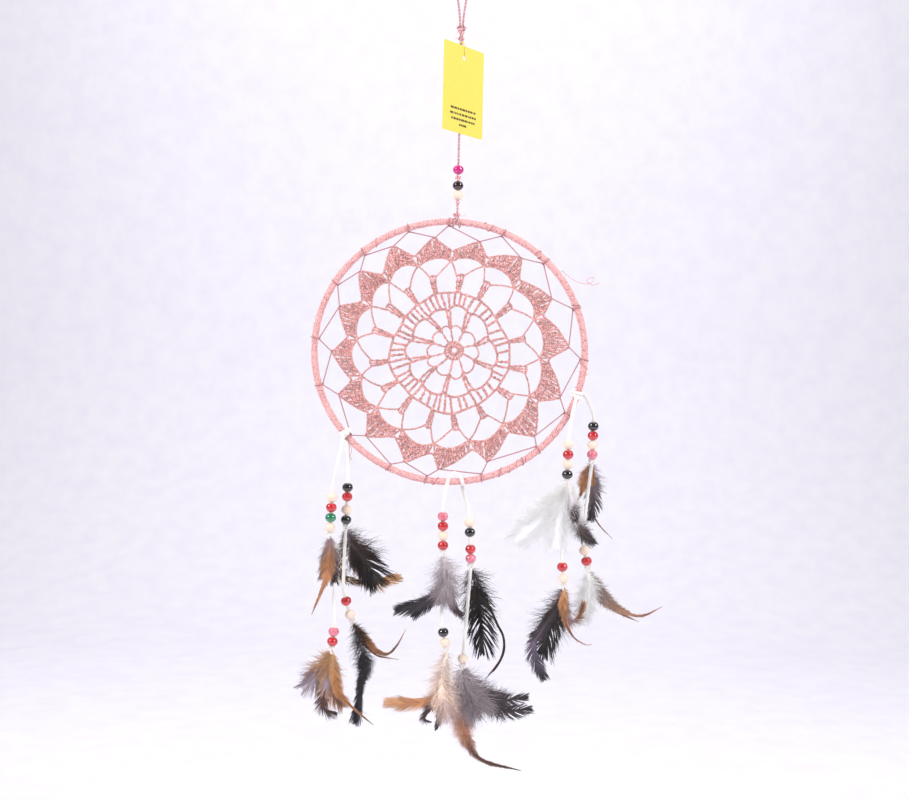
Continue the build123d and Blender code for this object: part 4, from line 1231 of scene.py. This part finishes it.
class Feather:
    """One feather: a tapering quill with a row of barbs on each side of it, downy near the root."""

    def __init__(self, piece, places, width, kind, slot, side):
        self.piece, self.width, self.slot = piece, width, slot
        outline, self.down, self.wild, self.parting = KINDS[kind][:4]
        self.outline = np.array(OUTLINES[outline])
        self.out = np.array([0, float(side), 0])
        quill = evenly(curve_through(places, 1.0), 0.8)
        self.run = run_length(quill)
        self.length = self.run[-1]
        bow = np.sin(pi * self.run / self.length) * piece.random.uniform(0.2, 0.8)
        self.quill = quill + self.out * bow[:, None]
        self.headings = unit(np.gradient(self.quill, axis=0))

    def grow(self):
        share = self.run / self.length
        thick = QUILL_RADIUS * min(1.0, self.length / 60) * (1 - 0.8 * self.run / self.length)
        self.piece.sweep(self.quill, circle_section(6)[None] * thick[:, None, None], slot=self.slot,
                         along=np.repeat(share, 6), shade=0.7)
        for lean in (-1, 1):
            self.grow_vane(lean)
            self.grow_down(lean)
        self.grow_strays()

    def row(self, share, lean):
        """Where barbs at shares of the quill start, the ways ahead and aside, and the half width there."""
        at = share * self.length
        place = np.stack([np.interp(at, self.run, self.quill[:, k]) for k in range(3)], axis=1)
        ahead = unit(np.stack([np.interp(at, self.run, self.headings[:, k]) for k in range(3)], axis=1))
        half = np.interp(share, self.outline[:, 0], self.outline[:, 1]) * self.width / 2
        return place, ahead, unit(np.cross(ahead, self.out)) * lean, half

    def grow_vane(self, lean):
        """Close barbs side by side, drawn together into locks."""
        random, down, wild, width = self.piece.random, self.down, self.wild, self.width
        first = 0.55 * down
        count = max(8, int(self.length * (1 - first) / BARB_SPACING))
        share = np.linspace(first, 0.985, count)
        edges = np.cumsum(random.uniform(5, 16, count))
        lock = np.searchsorted(edges, np.arange(count))
        edges = np.append(0, edges)
        within = (np.arange(count) - edges[lock]) / np.diff(edges)[lock] * 2 - 1
        loose = random.uniform(0.3, 1, count)[lock] * self.parting
        place, ahead, beside, half = self.row(share, lean)
        closing = np.clip((share - 0.72) / 0.28, 0, 1)
        loose = loose * np.clip((share - 0.2) / 0.4, 0, 1) * (1 - closing)
        angle = np.radians(48 - 16 * share - 30 * closing**1.5) + 0.3 * loose * within
        angle = angle + random.normal(0, 0.03, count)
        angle += random.uniform(-0.5, 1, count)[lock] * 0.22 * loose
        fluffy = np.clip((down - share) / max(down, 1e-3), 0, 1)
        reach = half / np.sin(np.clip(angle, 0.4, 1.2)) * random.uniform(0.86, 1.06, count)
        remaining = (1 - share) * self.length
        reach = np.minimum(reach, 0.9 * half + remaining * 0.95 + 0.6)
        reach = reach * (1 + 0.1 * random.normal(0, 1, count)[lock])
        bends = (0.35 + 0.25 * closing) * np.clip(angle, 0.1, 1) + 0.2 * wild * random.normal(0, 0.6, count)
        lifts = random.normal(0, 0.03, count) + 0.06 + 0.2 * fluffy * random.normal(0, 1, count)
        curl = 0.03 + fluffy * random.normal(0, 0.25, count)
        reach = np.maximum(reach, 0.8)
        lines = grow_barbs(place, ahead, beside, self.out, reach, angle, bends, lifts, curl, 7)
        shade = 0.65 * random.uniform(0, 1, count)[lock] + 0.35 * random.uniform(0, 1, count)
        widths = BARB_WIDTH * np.clip(width / 15, 1, 1.7)
        widths = widths * (1 - 0.5 * fluffy) * random.uniform(0.8, 1.1, count)
        add_barbs(self.piece, lines, widths, self.slot, share, self.out, shade)

    def grow_down(self, lean):
        """Long fine barbs near the root that stand out every way."""
        random, down, wild = self.piece.random, self.down, self.wild
        count = int(self.length * down * (5.5 + 4.0 * wild))
        if count <= 4:
            return
        share = np.sort(random.uniform(0.02, min(down + 0.1, 0.97), count))
        place, ahead, beside, half = self.row(share, lean)
        angle = np.radians(60) + random.normal(0, 0.2 + 0.25 * wild, count)
        reach = np.maximum(half * random.uniform(0.7, 1.6, count) * (0.85 + 0.35 * wild), 1.2)
        bends = random.normal(0.45, 0.2 + 0.25 * wild, count)
        lifts, curl = random.normal(0, 0.4, count), random.normal(0, 0.12 + 0.14 * wild, count)
        lines = grow_barbs(place, ahead, beside, self.out, reach, angle, bends, lifts, curl, 8)
        add_barbs(self.piece, lines, random.uniform(0.15, 0.3, count), self.slot, share, self.out)

    def grow_strays(self):
        """A few barbs that stand away from the vane."""
        random = self.piece.random
        count = int(self.length * 0.7 * (0.15 + self.wild)) if self.width > 4 else 0
        share = random.uniform(0.1, 0.9, count)
        lean = random.choice([-1.0, 1.0], count)[:, None]
        place, ahead, beside, half = self.row(share, 1)
        reach = half * random.uniform(1.15, 1.8, count) + 1
        angle, bends = random.normal(0.7, 0.25, count), random.normal(0.2, 0.4, count)
        lifts, curl = random.normal(0, 0.3, count), random.normal(0, 0.12, count)
        lines = grow_barbs(place, ahead, beside * lean, self.out, reach, angle, bends, lifts, curl, 8)
        add_barbs(self.piece, lines, random.uniform(0.18, 0.32, count), self.slot, share, self.out)


def cluster_line(cluster):
    """The first bead's centre, the way down through the cluster, and its length."""
    first, last = np.array([cluster[0][0], 0, cluster[0][1]]), np.array([cluster[1][0], 0, cluster[1][1]])
    down = last - first
    return first, down / np.linalg.norm(down), np.linalg.norm(down)


def turned_bead(piece, middle, axis, bore):
    """A turned bead: round sides, eased edges at the hole, and a slightly uneven surface."""
    arc_centre, arc, lip = 0.509, 3.491, 0.3
    start = np.arccos(np.clip((bore + lip - arc_centre) / arc, -1, 1))
    profile = [(arc_centre + arc * cos(a), arc * sin(a)) for a in np.linspace(start, -start, 25)]
    height = profile[0][1]
    upper = [(bore, 0.0), (bore, height - lip), (bore + 0.1 * lip, height - 0.35 * lip),
             (bore + 0.45 * lip, height - 0.05 * lip)]
    lower = [(r, -z) for r, z in reversed(upper[1:])]
    rows = np.array([*upper, *profile, *lower])
    worn = np.clip(1.35 - (rows[:, 0] - bore) / 0.75, 0, 1) * (np.abs(rows[:, 1]) > 1)
    sides = 40
    angle = np.linspace(0, 2 * pi, sides, endpoint=False)
    wobble = 1 + 0.006 * np.sin(2 * angle + piece.random.uniform(0, 6)) + 0.004 * np.sin(5 * angle)
    reach = rows[:, :1] * wobble[None]
    axis = unit(np.asarray(axis, float))
    across = unit(np.cross(axis, [0, 1.0, 0]))
    forward = np.cross(across, axis)
    way = np.cos(angle)[None, :, None] * across + np.sin(angle)[None, :, None] * forward
    points = middle + reach[..., None] * way - rows[:, 1][:, None, None] * axis
    count = len(rows)
    ring_start = np.arange(count)[:, None] * sides
    ring_after = (ring_start + sides) % (count * sides)
    side = np.arange(sides)[None]
    after = (side + 1) % sides
    quads = np.stack([ring_start + side, ring_after + side, ring_after + after, ring_start + after], -1)
    quads = quads.reshape(-1, 4)
    piece.add(points, [quads], worn=np.repeat(worn, sides))


def make_top_beads():
    beads = (("magenta_bead", "magenta_paint"), ("maroon_bead", "maroon_paint"), ("natural_bead", N))
    for node, paint in beads:
        low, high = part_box(node)
        piece = Piece(f"{node}_turned")
        turned_bead(piece, np.array((low + high) / 2) / MM, (0, 0, -1), CORD_BEAD_BORE)
        piece.make(node, paint, replaces=[node])


def make_beads(strand, level, body, cluster, y):
    first, down, length = cluster_line(cluster)
    for number, (place, paint) in enumerate(zip(cluster[2], cluster[3])):
        piece = Piece(f"{strand}_{level}_bead_{number + 1}")
        middle = first + down * (length * place) + np.array([0, y, 0])
        wander = piece.random.normal(0, 0.03, 3)
        turned_bead(piece, middle, down + wander, BEAD_BORE)
        piece.make(body, paint, replaces=[f"{strand}_{level}_beads"])


def make_lace(strand, level, body, start, cluster, y):
    """A flat suede lace through its beads, and the overhand knot under them."""
    first, down, length = cluster_line(cluster)
    shift = np.array([0, y, 0])
    entry = first - down * (BEAD_HEIGHT / 2 + LACE_LEAD) + shift
    knot = first + down * (length + BEAD_HEIGHT / 2 + LACE_KNOT) + shift
    route = [start, entry, entry + down * LACE_LEAD, knot]
    line = route_line([tuple(float(v) * MM for v in point) for point in route], 0.5)
    piece = Piece(f"{strand}_{level}_lace_suede")
    run = run_length(line)
    share = run / run[-1]
    twist = piece.random.uniform(-0.5, 0.5) * np.sin(pi * share)
    twist = twist + piece.random.uniform(-0.25, 0.25) * np.sin(3 * pi * share)
    normals = np.stack([np.sin(twist), -np.cos(twist), 0 * twist], axis=1)
    swell = (1 + 0.06 * np.sin(run * 0.9 + 1))[:, None, None]
    section = flat_section(LACE_WIDTH, LACE_THICKNESS)[None] * swell
    piece.sweep(line, section, normals)
    made = piece.make(body, "white_suede", replaces=[f"{strand}_{level}_lace"])

    piece = Piece(f"{strand}_{level}_knot_suede")
    ring_line = overhand(knot, (2.5, 1.9, 2.2), count=60, lean=piece.random.uniform(-30, 30))
    piece.sweep(ring_line, flat_section(1.5, 0.9), closed=True, normals=ring_line - knot)
    binding_radius, wraps, pitch = 0.95, 5.3, 0.4
    turn = np.linspace(0, wraps * 2 * pi, 110)
    bound = knot - np.array([0, 0, LACE_KNOT + 0.3])
    ring = [binding_radius * np.cos(turn), binding_radius * np.sin(turn)]
    helix = bound + np.stack([*ring, -pitch * turn / (2 * pi)], axis=1)
    piece.sweep(helix, circle_section(6) * 0.2)
    tied = piece.make(body, "white_suede")
    declare_cord(line)
    return knot


def make_feathers(strand, level, body, knot, feathers, side):
    """The cluster's feathers, each with its quill bound under the knot and spread in layers."""
    node = f"{strand}_{level}_feathers"
    node_low, node_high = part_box(node)
    near, far = (node_low.y, node_high.y) if side == BACK else (node_high.y, node_low.y)
    kinds = list(dict.fromkeys(feather[0] for feather in feathers))
    piece = Piece(f"{node}_barbed")
    for number, (kind, width, places) in enumerate(feathers):
        depth = (near + (far - near) * (number + 0.5) / len(feathers)) / MM
        points = [knot + np.array([0.5 * (number - 1), 0.25 * side * number, -1.5])]
        points += [np.array([x, depth, z]) for x, z in places]
        Feather(piece, points, width, kind, kinds.index(kind), side).grow()
    return piece.make(body, "feather", *kinds, replaces=[node])


def make_strands():
    for strand, spec in STRANDS.items():
        side = spec["side"]
        y = side * LAYER
        pivot = np.array([spec["pivot"][0], y, spec["pivot"][1] - 0.35])
        upper_knot = make_lace(strand, "upper", strand, pivot, spec["upper"], y)
        make_beads(strand, "upper", strand, spec["upper"], y)
        make_feathers(strand, "upper", strand, upper_knot, spec["upper_feathers"], side)
        body = f"{strand}_lower"
        first, down, _ = cluster_line(spec["lower"])
        entry = first - down * (BEAD_HEIGHT / 2 + LACE_LEAD) + np.array([0, y, 0])
        start = upper_knot + unit(entry - upper_knot) * (LACE_KNOT + 0.35)
        lower_knot = make_lace(strand, "lower", body, start, spec["lower"], y)
        make_beads(strand, "lower", body, spec["lower"], y)
        make_feathers(strand, "lower", body, lower_knot, spec["lower_feathers"], side)


def make_ties():
    """Each lace goes round the hoop twice, with an arch between, and leaves to the front and the back."""
    for node, (strands, spread) in TIES.items():
        low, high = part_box(node)
        share = nearest_share((low.x + high.x) / 2 / MM, (low.z + high.z) / 2 / MM)
        places = [nearest_share(*STRANDS[strand]["pivot"]) for strand in strands]
        order = 1 if places[0] > places[1] else -1
        piece = Piece(f"{node}_suede")
        over = np.linspace(0, 2 * pi, 44, endpoint=False)
        section = flat_section(LACE_WIDTH, LACE_THICKNESS)
        arch = []
        for strand, way in zip(strands, (order, -order)):
            side, pivot = STRANDS[strand]["side"], STRANDS[strand]["pivot"]
            place = share + way * spread / RING_LENGTH
            centre = RING[int(place * len(RING))]
            slant = place + 0.6 * way * np.cos(over) / RING_LENGTH
            line = around_hoop(slant, over, np.full(44, WRAP_RADIUS + 0.6))
            piece.sweep(line, section, closed=True, normals=line - centre)
            arch.append(around_hoop(place, pi, WRAP_RADIUS + 0.9))
            end = np.array([pivot[0], side * LAYER, pivot[1]])
            outward = RING_OUT[int(place * len(RING))]
            crossing = centre + outward * (WRAP_RADIUS + 0.8) + np.array([0, side * 1.5, 0])
            start = centre + np.array([0, side * (WRAP_RADIUS + 1.3), 0])
            lift = 0.3 * abs(end[0] - start[0])
            middle = start + (end - start) * 0.55 + np.array([0, side * 0.35, lift])
            leg = curve_through([crossing, start, middle, end, end + np.array([0, 0, -1.2])], 0.5)
            piece.sweep(leg, section, normals=np.tile([0.0, side, 0.15], (len(leg), 1)))
        top = around_hoop(share, pi, WRAP_RADIUS + 1.6 + 0.45 * spread)
        front = np.array([0, -1.4, 0])
        line = curve_through([arch[0] + front * 2, arch[0] * 0.5 + top * 0.5 + front, top + front,
                              arch[1] * 0.5 + top * 0.5 + front, arch[1] + front * 2], 0.4)
        piece.sweep(line, section, normals=np.tile([0.0, -1.0, 0.3], (len(line), 1)))
        piece.make("hoop", "white_suede", replaces=[node])


make_studio()
make_cords()
make_tag()
make_hoop()
make_hitch()
make_web()
make_lacing()
make_top_beads()
make_ties()
make_strands()
